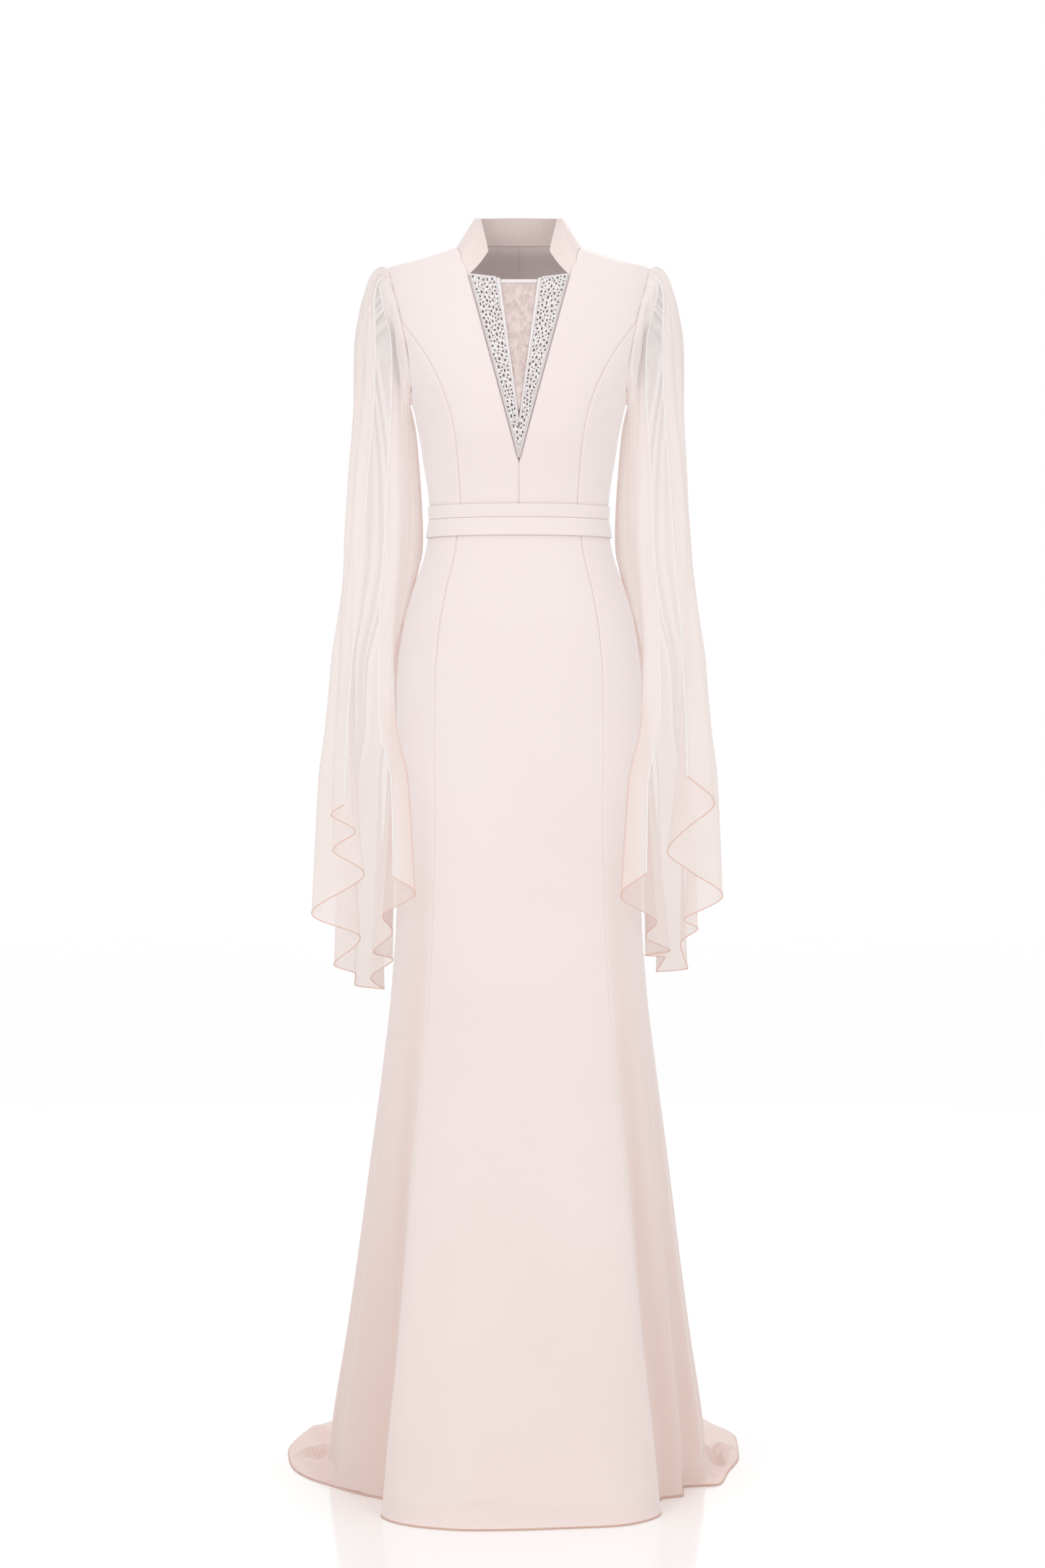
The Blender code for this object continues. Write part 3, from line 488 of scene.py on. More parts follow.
def sleeve_surface(folds, edges, fall):
    """The sleeve's middle surface at fold edges (0 to the last) by fall (0 armhole, 1 hem)."""
    count = folds.key[-1]
    start, out = armhole_point(folds.at("armhole_turn", edges))
    start = start + out * (SEAM_GAP + CHIFFON / 2)
    loop_height = np.minimum(SLEEVE_RINGS.key[-1], start[:, 2] - SLEEVE_DROP)
    hem_height = folds.at("height", edges)

    def hanging(height):
        opening = SLEEVE_RINGS.at("outer_edge", height)
        closing = SLEEVE_RINGS.at("inner_edge", height)
        angle = np.radians(opening + (360 - opening + closing) * edges / count)
        across = SLEEVE_RINGS.at("centre", height)
        across = across + SLEEVE_RINGS.at("half_across", height) * np.sin(angle)
        back = -SLEEVE_RINGS.at("half_deep", height) * np.cos(angle) + TUBE_BACK
        return np.stack([across, back, height], -1)

    foot = hanging(hem_height)
    hem = np.stack([folds.at("across", edges), folds.at("back", edges), hem_height], -1)
    at_shoulder = np.clip(np.cos(np.radians(folds.at("armhole_turn", edges))), 0, 1)
    lean = SLEEVE_LEAN + SHOULDER_LEAN * at_shoulder[:, None]
    leave = (out + np.array([SLEEVE_OUTWARD, 0, 0])) * lean
    arrive = np.array([0, 0, -1.0]) * (ARRIVE_BASE + ARRIVE_BY_LEAN * lean)
    loop = hanging(loop_height)
    rows = []
    for share in fall:
        if share >= SLEEVE_EASE:
            drop = (share - SLEEVE_EASE) / (1 - SLEEVE_EASE)
            height = loop_height + (hem_height - loop_height) * drop
            row = hanging(height) + (hem - foot) * drop**FOLD_GROWTH
        else:
            t = share / SLEEVE_EASE
            row = (
                start * ((1 + 2 * t) * (1 - t) ** 2)
                + leave * (t * (1 - t) ** 2)
                + loop * (t * t * (3 - 2 * t))
                + arrive * (t * t * (t - 1))
            )
            gather = GATHER_DEPTH * math.sin(math.pi * t) * np.cos(2 * math.pi * edges)
            row = row + out * gather[:, None]
        rows.append(clear_of_body(row))
    return np.stack(rows)


# Cloth in the render is thinner than its solid
COLLAR_SINK = 0.0006
CREPE_SHELL = 0.0012
CHIFFON_SHELL = 0.0004
LACE_SHELL = 0.0006
HEM_ROLL = 0.0007
SKIRT_PIPING = 0.0013

# Grid lines of a panel: these distances from each edge, then a step apart
EDGE_LINES = (0.0001, 0.0003, 0.0006, 0.0011, 0.0018, 0.0028)
PANEL_STEP = 0.0045

# More rows or columns by a grid's ends, as shares of one row or column
END_ROWS = np.array([0.02, 0.06, 0.15, 0.4])

# A direction that no cord runs in, which gives every cord a side
CORD_UP = (0.3, 0.2, 1.0)
CORD_SIDES = 7

SIDES = (("left", 1), ("right", -1))

# Camera and room, worked out from the photograph's perspective
IMAGE_WIDTH, IMAGE_HEIGHT = 1445, 2168
FOCAL_PIXELS = 4797
HORIZON_ROW = 980
CENTRE_COLUMN = 717.6
CAMERA_DISTANCE = 4.5
CAMERA_HEIGHT = 1.0
SENSOR = 36.0

# Seam grooves
GROOVE_DEPTH = 0.0010
GROOVE_WIDTH = 0.0011
RIDGE_HEIGHT = 0.0005
RIDGE_AT = 0.0034
RIDGE_WIDTH = 0.0015

# A crease has a low ridge on each side, this many widths away and this share of its depth
CREASE_RIDGE_AT = 1.9
CREASE_RIDGE = 0.35

# Soft creases of the bodice in the front view: across and height where each starts, the same
# where it ends, how wide it is, how far it stands out and how far it bows sideways
FRONT_CREASES = (
    (0.128, 1.404, 0.098, 1.392, 0.0050, -0.0016, 0.002),
    (0.131, 1.384, 0.104, 1.366, 0.0060, -0.0014, 0.003),
    (0.126, 1.352, 0.101, 1.345, 0.0050, -0.0010, 0.002),
    (0.112, 1.292, 0.082, 1.282, 0.0050, -0.0008, 0.002),
    (0.108, 1.274, 0.070, 1.270, 0.0040, -0.0007, 0.001),
    (0.152, 1.476, 0.142, 1.440, 0.0060, -0.0012, 0.003),
    (0.012, 1.300, 0.040, 1.272, 0.0060, -0.0005, 0.004),
    (-0.129, 1.408, -0.100, 1.397, 0.0055, -0.0015, 0.002),
    (-0.131, 1.380, -0.108, 1.360, 0.0055, -0.0013, 0.003),
    (-0.124, 1.340, -0.100, 1.336, 0.0050, -0.0009, 0.002),
    (-0.113, 1.298, -0.086, 1.284, 0.0050, -0.0009, 0.002),
    (-0.107, 1.276, -0.066, 1.269, 0.0040, -0.0006, 0.001),
    (-0.153, 1.480, -0.141, 1.442, 0.0060, -0.0012, 0.003),
    (-0.016, 1.296, -0.046, 1.275, 0.0060, -0.0005, 0.004),
)
BACK_CREASES = (
    (0.126, 1.400, 0.082, 1.388, 0.0060, -0.0014, 0.003),
    (0.118, 1.330, 0.060, 1.322, 0.0055, -0.0010, 0.003),
    (0.108, 1.286, 0.048, 1.276, 0.0050, -0.0012, 0.003),
    (0.100, 1.470, 0.060, 1.505, 0.0080, -0.0010, 0.004),
    (-0.127, 1.404, -0.076, 1.392, 0.0060, -0.0015, 0.003),
    (-0.116, 1.322, -0.066, 1.318, 0.0055, -0.0011, 0.003),
    (-0.109, 1.282, -0.040, 1.272, 0.0050, -0.0012, 0.003),
    (-0.104, 1.474, -0.056, 1.500, 0.0080, -0.0009, 0.004),
)

# Soft folds of the skirt: the turn of each, how many degrees wide it is, the heights where it
# starts and is full, and how far it stands out
SKIRT_FOLDS = (
    (-31, 5.0, 0.52, 0.16, -0.0030),
    (-12, 9.0, 0.46, 0.14, 0.0022),
    (11, 8.0, 0.40, 0.12, -0.0018),
    (30, 5.0, 0.55, 0.18, -0.0026),
    (-66, 5.0, 0.80, 0.30, 0.0030),
    (-78, 5.0, 0.66, 0.26, -0.0036),
    (64, 4.5, 0.74, 0.28, 0.0032),
    (74, 5.0, 0.70, 0.24, -0.0034),
    (-104, 6.0, 0.86, 0.34, 0.0045),
    (-119, 6.0, 0.74, 0.30, -0.0045),
    (-134, 7.0, 0.90, 0.36, 0.0040),
    (-148, 6.0, 0.70, 0.30, -0.0050),
    (-163, 6.0, 0.84, 0.34, 0.0045),
    (172, 6.0, 0.78, 0.32, -0.0040),
    (158, 6.0, 0.88, 0.36, 0.0045),
    (143, 7.0, 0.72, 0.30, -0.0050),
    (128, 6.0, 0.82, 0.34, 0.0045),
    (113, 6.0, 0.76, 0.30, -0.0045),
    (99, 5.0, 0.86, 0.34, 0.0040),
)


def grid_lines(start, end, count, near):
    """Lines from start to end: at these distances in from both ends, and evenly between."""
    near = np.array(near)
    even = np.linspace(start + near[-1], end - near[-1], count)[1:-1]
    return np.concatenate([[start], start + near, even, end - near[::-1], [end]])


def spread(length, step=PANEL_STEP, edge=EDGE_LINES):
    """Grid lines along a length, as shares of it: close at both ends and a step apart between."""
    count = max(3, round((length - 2 * edge[-1]) / step) + 1)
    return grid_lines(0.0, length, count, edge) / length


def with_ends(lines, near):
    """Grid lines with more of them at these distances in from both ends."""
    near = np.array(near)
    inner = lines[1:-1]
    return np.concatenate([lines[:1], lines[0] + near, inner, lines[-1] - near[::-1], lines[-1:]])


def rows_at(grid, where):
    """The grid's rows at these row numbers, which needn't be whole."""
    step = np.arange(len(grid))
    columns = grid.reshape(len(grid), -1).T
    found = np.stack([np.interp(where, step, column) for column in columns], -1)
    return found.reshape(len(where), *grid.shape[1:])


def along(points, axis):
    """Distance of each point of a grid from the grid's start, along rows or columns."""
    steps = np.linalg.norm(np.diff(points, axis=axis), axis=-1)
    start = np.zeros_like(np.take(steps, [0], axis))
    return np.concatenate([start, np.cumsum(steps, axis)], axis)


def to_ends(points, axis):
    """Distance of each point of a grid from the nearer end of its row or column."""
    far = along(points, axis)
    return np.minimum(far, np.take(far, [-1], axis) - far)


def outward(points):
    """Normals of a grid, pointing away from the upright line through the origin."""
    found = normals(points)
    return found * np.sign((found[..., :2] * points[..., :2]).sum(-1).mean())


def seam_relief(distance):
    """How far cloth stands out at a distance from a pressed seam."""
    groove = np.exp(-((distance / GROOVE_WIDTH) ** 2))
    ridge = np.exp(-(((distance - RIDGE_AT) / RIDGE_WIDTH) ** 2))
    return RIDGE_HEIGHT * ridge - GROOVE_DEPTH * groove


def crease_relief(points, rows, up_axis=2):
    """Soft troughs and ridges placed in the front, back or top view, faded at their ends."""
    relief = np.zeros(points.shape[:2])
    across, height = points[..., 0], points[..., up_axis]
    for x0, z0, x1, z1, width, depth, bow in rows:
        run = np.array([x1 - x0, z1 - z0])
        length = np.linalg.norm(run)
        run = run / length
        forward = ((across - x0) * run[0] + (height - z0) * run[1]) / length
        sideways = (height - z0) * run[0] - (across - x0) * run[1]
        sideways = sideways - bow * np.sin(np.pi * np.clip(forward, 0, 1))
        taper = np.exp(-(np.abs(2 * forward - 1) ** 4))
        trough = np.exp(-((sideways / width) ** 2))
        ridge = np.exp(-(((np.abs(sideways) - CREASE_RIDGE_AT * width) / width) ** 2))
        relief += depth * taper * (trough - CREASE_RIDGE * ridge)
    return relief


def place(piece, node, body="root"):
    """Puts a new piece on its body, in place of its solid."""
    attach(piece, body)
    if node:
        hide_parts(node)
    return piece


def added(name, data):
    """A new object of the scene, with this data."""
    made = bpy.data.objects.new(name, data)
    bpy.context.scene.collection.objects.link(made)
    return made


def mesh_object(name, points, faces, look, uvs=None, marks=None):
    """A smooth mesh. marks, one for each point, is what its look reads as its mark."""
    data = bpy.data.meshes.new(name)
    data.from_pydata((points - (0, 0, SHOULDER_HEIGHT)).tolist(), [], faces)
    data.validate()
    if uvs is not None:
        corner = np.empty(len(data.loops), np.int64)
        data.loops.foreach_get("vertex_index", corner)
        layer = data.uv_layers.new(name="UVMap")
        layer.data.foreach_set("uv", uvs[corner].astype(np.float32).ravel())
    if marks is not None:
        attribute = data.attributes.new("mark", "FLOAT", "POINT")
        attribute.data.foreach_set("value", marks.astype(np.float32))
    data.materials.append(look)
    data.shade_smooth()
    return added(name, data)


def quads_of(index):
    """The corners of each cell of a grid of point numbers."""
    corners = (index[:-1, :-1], index[:-1, 1:], index[1:, 1:], index[1:, :-1])
    return np.stack(corners, -1).reshape(-1, 4)


def shell(name, outer, thick, look, out, marks=None):
    """A closed thin wall under a grid of points with these normals, with rounded borders."""
    rows, columns = outer.shape[:2]
    distance = np.minimum(to_ends(outer, 0), to_ends(outer, 1))
    near = np.clip(1 - distance / (thick / 2), 0, 1)
    inset = (thick / 2 * (1 - np.sqrt(1 - near**2)))[..., None]
    front = outer - inset * out
    back = outer - (thick - inset) * out
    index = np.arange(rows * columns).reshape(rows, columns)
    behind = index.copy()
    inner_count = (rows - 2) * (columns - 2)
    behind[1:-1, 1:-1] = rows * columns + np.arange(inner_count).reshape(rows - 2, columns - 2)
    points = np.concatenate([front.reshape(-1, 3), back[1:-1, 1:-1].reshape(-1, 3)])
    uv = np.stack([along(outer, 1), along(outer, 0)], -1)
    uvs = np.concatenate([uv.reshape(-1, 2), uv[1:-1, 1:-1].reshape(-1, 2)])
    if marks is not None:
        marks = np.concatenate([marks.reshape(-1), marks[1:-1, 1:-1].reshape(-1)])

    i, j = rows // 2, columns // 2
    turned = np.cross(outer[i, j + 1] - outer[i, j], outer[i + 1, j] - outer[i, j])
    flip = np.dot(turned, out[i, j]) < 0
    faces = []
    for corner, reverse in ((index, flip), (behind, not flip)):
        quads = quads_of(corner)
        faces.extend((quads[:, ::-1] if reverse else quads).tolist())
    return mesh_object(name, points, faces, look, uvs, marks)


def tube(name, path, radius, look):
    """A round cord along a path, closed at both ends."""
    forward = unit(np.gradient(path, axis=0))
    side = unit(np.cross(forward, CORD_UP))
    up = np.cross(side, forward)
    angle = np.linspace(0, 2 * np.pi, CORD_SIDES, endpoint=False)[None, :, None]
    rings = path[:, None] + radius * (np.cos(angle) * side[:, None] + np.sin(angle) * up[:, None])
    points = np.concatenate([rings.reshape(-1, 3), path[:1], path[-1:]])
    faces = []
    last = (len(path) - 1) * CORD_SIDES
    for k in range(CORD_SIDES):
        after = (k + 1) % CORD_SIDES
        faces.append((after, k, len(points) - 2))
        faces.append((last + k, last + after, len(points) - 1))
        for start in range(0, last, CORD_SIDES):
            onward = start + CORD_SIDES
            faces.append((start + k, start + after, onward + after, onward + k))
    return mesh_object(name, points, faces, look)


# A sheet's width and length are taken as at least this. A sheet's cut is stated as at
# least this wide, and as filling at least this share of its rectangle
NARROWEST_CUT = 0.010
SHEETS = []


def declare(piece, grid, held, rests_on=(), trims=()):
    """Keeps a sheet of cloth and its grid, with how it is held, what it rests on and its trims."""
    SHEETS.append((piece, grid, held, list(rests_on), list(trims)))


def state_sheets():
    """Works out each sheet's width and length from its own surface; nothing further is done with
    them.
    """
    for piece, grid, held, rests_on, trims in SHEETS:
        width = max(float(along(grid, 1)[:, -1].max()), NARROWEST_CUT)
        length = max(float(along(grid, 0)[-1].max()), NARROWEST_CUT)


# Materials


# A Mix node's inputs for the factor and the two colours, and its colour output
MIX_INPUTS = (0, 6, 7)
MIX_OUTPUT = 2


class Look:
    """A Principled material and short ways to add nodes to it."""

    def __init__(self, name, roughness, sheen=0.0, sheen_roughness=0.35, specular=0.4):
        self.material = bpy.data.materials.new(name)
        self.material.use_nodes = True
        self.tree = self.material.node_tree
        self.shader = self.tree.nodes["Principled BSDF"]
        self.set("Roughness", roughness)
        self.set("Sheen Weight", sheen)
        self.set("Sheen Roughness", sheen_roughness)
        self.set("Specular IOR Level", specular)
        self.coordinates = self.tree.nodes.new("ShaderNodeTexCoord")

    def set(self, socket, value):
        self.shader.inputs[socket].default_value = value

    def link(self, source, target):
        self.tree.links.new(source, target)

    def scaled(self, source, scale):
        mapping = self.tree.nodes.new("ShaderNodeMapping")
        mapping.inputs["Scale"].default_value = scale
        self.link(self.coordinates.outputs[source], mapping.inputs["Vector"])
        return mapping.outputs["Vector"]

    def noise(self, scale, detail=2.0, stretch=(1, 1, 1), source="Object", distortion=0.0):
        made = self.tree.nodes.new("ShaderNodeTexNoise")
        made.inputs["Scale"].default_value = scale
        made.inputs["Detail"].default_value = detail
        made.inputs["Distortion"].default_value = distortion
        self.link(self.scaled(source, stretch), made.inputs["Vector"])
        return made.outputs["Fac"]

    def bands(self, scale, direction, source="UV", distortion=0.0):
        made = self.tree.nodes.new("ShaderNodeTexWave")
        made.bands_direction = direction
        made.inputs["Scale"].default_value = scale
        made.inputs["Distortion"].default_value = distortion
        self.link(self.coordinates.outputs[source], made.inputs["Vector"])
        return made.outputs["Fac"]

    def mark(self):
        made = self.tree.nodes.new("ShaderNodeAttribute")
        made.attribute_name = "mark"
        return made.outputs["Fac"]

    def ramp(self, fac, stops):
        made = self.tree.nodes.new("ShaderNodeValToRGB")
        elements = made.color_ramp.elements
        while len(elements) < len(stops):
            elements.new(0.5)
        for element, (position, colour) in zip(elements, stops):
            element.position = position
            element.color = (*colour, 1.0)
        self.link(fac, made.inputs["Fac"])
        return made.outputs["Color"]

    def mixed(self, fac, first, second, blend="MIX"):
        """A blend of two colours or colour sockets."""
        made = self.tree.nodes.new("ShaderNodeMix")
        made.data_type = "RGBA"
        made.blend_type = blend
        for place_in, value in zip(MIX_INPUTS, (fac, first, second)):
            socket = made.inputs[place_in]
            if isinstance(value, bpy.types.NodeSocket):
                self.link(value, socket)
            else:
                socket.default_value = value if isinstance(value, float) else (*value, 1.0)
        return made.outputs[MIX_OUTPUT]

    def maths(self, operation, *values):
        made = self.tree.nodes.new("ShaderNodeMath")
        made.operation = operation
        for socket, value in zip(made.inputs, values):
            if isinstance(value, bpy.types.NodeSocket):
                self.link(value, socket)
            else:
                socket.default_value = value
        return made.outputs[0]

    def bump(self, height, distance, strength=1.0, under=None):
        made = self.tree.nodes.new("ShaderNodeBump")
        made.inputs["Distance"].default_value = distance
        made.inputs["Strength"].default_value = strength
        self.link(height, made.inputs["Height"])
        if under is not None:
            self.link(under, made.inputs["Normal"])
        self.link(made.outputs["Normal"], self.shader.inputs["Normal"])
        return made.outputs["Normal"]

    def colour(self, source):
        self.link(source, self.shader.inputs["Base Color"])


def crepe_look():
    """Smooth crepe: a pebbled grain under half a millimetre, a soft sheen, faint mottling and
    painted shade where marked.
    """
    look = Look("crepe", roughness=0.52, sheen=0.25, sheen_roughness=0.45, specular=0.35)
    cloudy = look.noise(5.0, 3.0)
    grain = look.noise(1500.0, 2.0)
    base = look.ramp(cloudy, ((0.30, (0.852, 0.752, 0.734)), (0.70, (0.878, 0.782, 0.764))))
    # Where marked, painted shade: the crepe deepens to a darker peach, low on the skirt and over
    # the collar
    base = look.mixed(look.mark(), base, (0.775, 0.610, 0.555))
    speck = look.ramp(grain, ((0.25, (0.93, 0.92, 0.92)), (0.65, (1.0, 1.0, 1.0))))
    look.colour(look.mixed(0.6, base, speck, "MULTIPLY"))
    slubs = look.noise(240.0, 2.0, (1.0, 1.0, 0.25))
    first = look.bump(grain, 0.00010, 0.7)
    look.bump(slubs, 0.00012, 0.6, first)
    return look.material


def chiffon_look():
    """Sheer crinkled chiffon: most light passes each layer, layers deepen to peach, a faint
    painted glow lightens it and painted shade deepens it where marked.
    """
    look = Look("chiffon", roughness=0.62, sheen=0.05, sheen_roughness=0.5, specular=0.15)
    crinkle = look.noise(900.0, 2.0, (1.0, 1.0, 0.35))
    cloudy = look.noise(9.0, 2.0, (1.0, 1.0, 0.4))
    base = look.ramp(cloudy, ((0.30, (0.805, 0.712, 0.685)), (0.70, (0.830, 0.748, 0.725))))
    # Where marked, painted shade: a terracotta shadow line along the innermost fold and deeper
    # peach beside it, also denser
    look.colour(look.mixed(look.mark(), base, (0.70, 0.43, 0.36)))
    # A faint painted glow, in place of the light that passes through the sheer cloth
    look.set("Emission Color", (1.0, 0.86, 0.82, 1.0))
    look.set("Emission Strength", 0.045)
    veil = look.maths("MULTIPLY_ADD", cloudy, 0.08, 0.44)
    dense = look.maths("MULTIPLY_ADD", look.mark(), 0.40, veil)
    look.link(dense, look.shader.inputs["Alpha"])
    look.bump(crinkle, 0.00005, 0.6)
    return look.material


THREAD_PITCH = 0.0009
THREAD_SHADE = 0.88
THREAD_COLOURS = {
    "beaded_edge": (0.74, 0.665, 0.66),
    "binding": (0.93, 0.885, 0.875),
    "hem": (0.90, 0.60, 0.50),
    "slit": (1.0, 0.985, 0.975),
    # Paler than the crepe: a painted highlight on the front panel's pressed edges
    "front_edge": (0.93, 0.85, 0.84),
    # The skirt's hem cord: its rolled edge, made darker terracotta as painted contact shadow at
    # the floor
    "skirt_hem_and_shadow": (0.76, 0.50, 0.42),
}


def thread_look(name, colour):
    """A rolled or bound edge, with the slant of its thread."""
    look = Look(name, roughness=0.5, sheen=0.2, specular=0.4)
    turns = look.bands(1.0 / THREAD_PITCH, "DIAGONAL", "Object", 1.5)
    dark = tuple(THREAD_SHADE * channel for channel in colour)
    look.colour(look.ramp(turns, ((0.2, dark), (0.8, colour))))
    look.bump(turns, 0.00015, 0.6)
    return look.material


def stitch_look():
    """Pale raised embroidery with painted shade: greyer and pinker down between its threads,
    darkest in the sunk eyelets.
    """
    look = Look("beaded", roughness=0.45, sheen=0.1, specular=0.5)
    fibre = look.noise(1100.0, 3.0, (1.0, 1.0, 0.5))
    # Painted shade by the pile: darker where the stitches are low, near black down in the eyelets
    pile = look.ramp(look.mark(), ((0.06, (0.230, 0.170, 0.158)), (0.24, (0.46, 0.39, 0.385)),
                                   (0.46, (0.71, 0.665, 0.665)), (0.80, (0.90, 0.870, 0.870))))
    speck = look.ramp(fibre, ((0.25, (0.82, 0.80, 0.80)), (0.60, (1.0, 1.0, 1.0))))
    look.colour(look.mixed(0.7, pile, speck, "MULTIPLY"))
    look.bump(fibre, 0.00025, 0.9)
    return look.material


def lace_look():
    """Nude brushed net: deeper soft leaves, paler veins, a slanting fibre all over."""
    look = Look("lace", roughness=0.6, sheen=0.15, specular=0.25)
    fibre = look.noise(620.0, 4.0, (1.0, 1.0, 0.30), distortion=1.6)
    patch = look.noise(75.0, 3.0, (1.0, 1.0, 0.7), distortion=1.5)
    net = look.ramp(patch, ((0.30, (0.62, 0.49, 0.47)), (0.66, (0.80, 0.68, 0.655))))
    speck = look.ramp(fibre, ((0.28, (0.78, 0.74, 0.73)), (0.62, (1.0, 1.0, 1.0))))
    net = look.mixed(0.85, net, speck, "MULTIPLY")
    leaf = look.ramp(look.mark(), ((0.0, (0.66, 0.60, 0.60)), (0.5, (1.0, 1.0, 1.0)),
                                   (1.0, (1.22, 1.24, 1.24))))
    look.colour(look.mixed(1.0, net, leaf, "MULTIPLY"))
    look.bump(fibre, 0.00022, 0.9)
    return look.material


def floor_look():
    look = Look("floor", roughness=0.11, specular=1.0)
    haze = look.noise(2.0, 2.0)
    look.colour(look.ramp(haze, ((0.2, (0.975, 0.975, 0.975)), (0.8, (0.985, 0.985, 0.985)))))
    return look.material


LOOKS = {
    "crepe": crepe_look(),
    "chiffon": chiffon_look(),
    "beaded": stitch_look(),
    "lace": lace_look(),
}
LOOKS.update((name, thread_look(name, colour)) for name, colour in THREAD_COLOURS.items())


# Bodice

# Grid rows for each of a panel's edge points, and points of the shoulder seam
PRINCESS_STEPS = 8
SHOULDER_POINTS = 4


def strip_spots(near, far, shares):
    """A grid of spots between two lines of them, at these shares of the way."""
    share = shares[None, :, None]
    return near[:, None] * (1 - share) + far[:, None] * share


def smooth_rows(spots):
    """More rows along an edge of (turn, height) points, on a smooth curve through them."""
    key = np.arange(len(spots), dtype=float)
    table = Table(("key", "turn", "height"), [(k, *spot) for k, spot in zip(key, spots)])
    fine = np.linspace(0, key[-1], (len(spots) - 1) * PRINCESS_STEPS + 1)
    return np.stack([table.at("turn", fine), table.at("height", fine)], -1)


def centre_line(height):
    """How far across the front panel's inner edge is: the centre seam, then the V."""
    slope = TRIM_CORNER[0] / (TRIM_CORNER[1] - TRIM_TIP)
    return np.maximum(height - TRIM_TIP, 0) * slope


def bodice_edges():
    """The edges of the front, side front and back panels, as rows of (turn, height)."""
    low = np.linspace(WAIST_SEAM, PRINCESS.key[-1], (PRINCESS_ROWS - 1) * PRINCESS_STEPS + 1)
    princess = front_edge(PRINCESS.at("across", low), low)
    neck = smooth_rows(neck_seam())
    point = len(NECK_FRONT) * PRINCESS_STEPS

    rise = np.array(FRONT_ARMHOLE_HEIGHTS)
    armhole = np.concatenate(
        [princess[-1:], front_edge(ARMHOLE.at("front", rise), rise), [(90.0, SHOULDER_HEIGHT)]]
    )
    front_outer = np.concatenate([princess, smooth_rows(armhole)[1:]])
    v_edge = np.linspace(PRINCESS.key[-1], TRIM_CORNER[1], 2 * PRINCESS_STEPS + 1)[1:]
    v_edge = np.concatenate([low, v_edge])
    front_inner = np.concatenate([front_edge(centre_line(v_edge), v_edge), neck[1 : point + 1]])

    side_low = np.linspace(WAIST_SEAM, UNDERARM, SIDE_SEAM_ROWS)
    side_seam = np.stack([np.full(len(side_low), 90.0), side_low], -1)
    side_seam = smooth_rows(side_seam)
    side_rise = np.array(SIDE_ARMHOLE_HEIGHTS)
    side_armhole = np.concatenate(
        [side_seam[-1:], front_edge(ARMHOLE.at("front", side_rise), side_rise)]
    )
    side_outer = np.concatenate([side_seam, smooth_rows(side_armhole)[1:]])

    back_rise = np.array(BACK_ARMHOLE_HEIGHTS)
    back_turn = turn_at(ARMHOLE.at("back", back_rise), back_rise, behind=True)
    shoulder_rise = np.linspace(SHOULDER_HEIGHT, NECK_POINT, SHOULDER_POINTS)[:-1]
    shoulder = np.array([(90.0, z) for z in shoulder_rise])
    back_armhole = np.stack([back_turn, back_rise], -1)
    back_armhole = np.concatenate([side_seam[-1:], back_armhole, shoulder[:1]])
    back_outer = np.concatenate(
        [side_seam, smooth_rows(back_armhole)[1:], smooth_rows(shoulder)[1:]]
    )
    centre_rows = len(back_outer) - len(neck) + point + 1
    centre_heights = np.linspace(WAIST_SEAM, NECK_BACK[-1][1], centre_rows)
    centre_back = np.stack([np.full(len(centre_heights), 180.0), centre_heights], -1)
    back_inner = np.concatenate([centre_back, neck[point:][::-1][1:]])
    return (
        ("bodice_front", front_inner, front_outer, True),
        ("bodice_side_front", princess, side_outer, True),
        ("bodice_back", back_outer, back_inner, False),
    )


def bodice():
    for name, low, high, front in bodice_edges():
        rows = with_ends(np.arange(len(low), dtype=float), END_ROWS)
        for side, mirror in SIDES:
            ends = [torso(mirror * edge[:, 0], edge[:, 1]) for edge in (low, high)]
            width = float(np.linalg.norm(ends[0] - ends[1], axis=-1).mean())
            spots = rows_at(strip_spots(low, high, spread(width)), rows)
            points = torso(mirror * spots[..., 0], spots[..., 1])
            out = torso_normals(mirror * spots[..., 0], spots[..., 1])
            relief = seam_relief(to_ends(points, 1))
            relief += crease_relief(points, FRONT_CREASES if front else BACK_CREASES)
            points = points + relief[..., None] * out
            piece = shell(f"{name}_{side}_cloth", points, CREPE_SHELL, LOOKS["crepe"], out)
            place(piece, f"{name}_{side}")
            declare(piece, points, "hung")


# V of the front


def on_torso(spots, mirror, lift):
    """Points of the torso's front at (across, height), moved out, with their normals."""
    across, height = spots[..., 0], spots[..., 1]
    turn = mirror * turn_at(np.abs(across), height) * np.where(across < 0, -1, 1)
    out = torso_normals(turn, height)
    return torso(turn, height) + np.asarray(lift)[..., None] * out, out


def leaning(lean):
    """Directions along and across a lean from upright, in radians, in the front view."""
    forward = np.array([math.sin(lean), math.cos(lean)])
    return forward, np.array([forward[1], -forward[0]])


def opening_edge(height):
    """How far across the bands' open edge is."""
    return (height - INNER_TIP) * (INNER_CORNER[0] / (INNER_CORNER[1] - INNER_TIP))


def binding_edge(height):
    """How far across the seam between a band and its binding is."""
    start = INNER_TIP - BINDINGS_MEET
    slope = (INNER_CORNER[0] + BINDING_WIDTH) / (INNER_CORNER[1] - start)
    return SEAM_GAP / 4 + np.maximum(height - start, 0) * slope


TRIM_STEP = 0.00062
EYELET_LONG = (0.0010, 0.0025)
EYELET_SHORT = (0.0008, 0.0015)
EYELET_APART = 0.0016
EYELET_SUNK = 0.0008
EYELET_MARGIN = 0.0014
EYELET_TRIES = 9000
BAND_SEEDS = {"left": 11, "right": 23}

# Under 1, this crowds the eyelets towards the band's wide top
EYELET_CROWDING = 0.62

TOP_BINDING = 0.0012
TOP_POINTS = 24
EDGE_STRIP = 0.0032

# The band's grid is a little coarser across than along
COLUMN_SHARE = 0.86

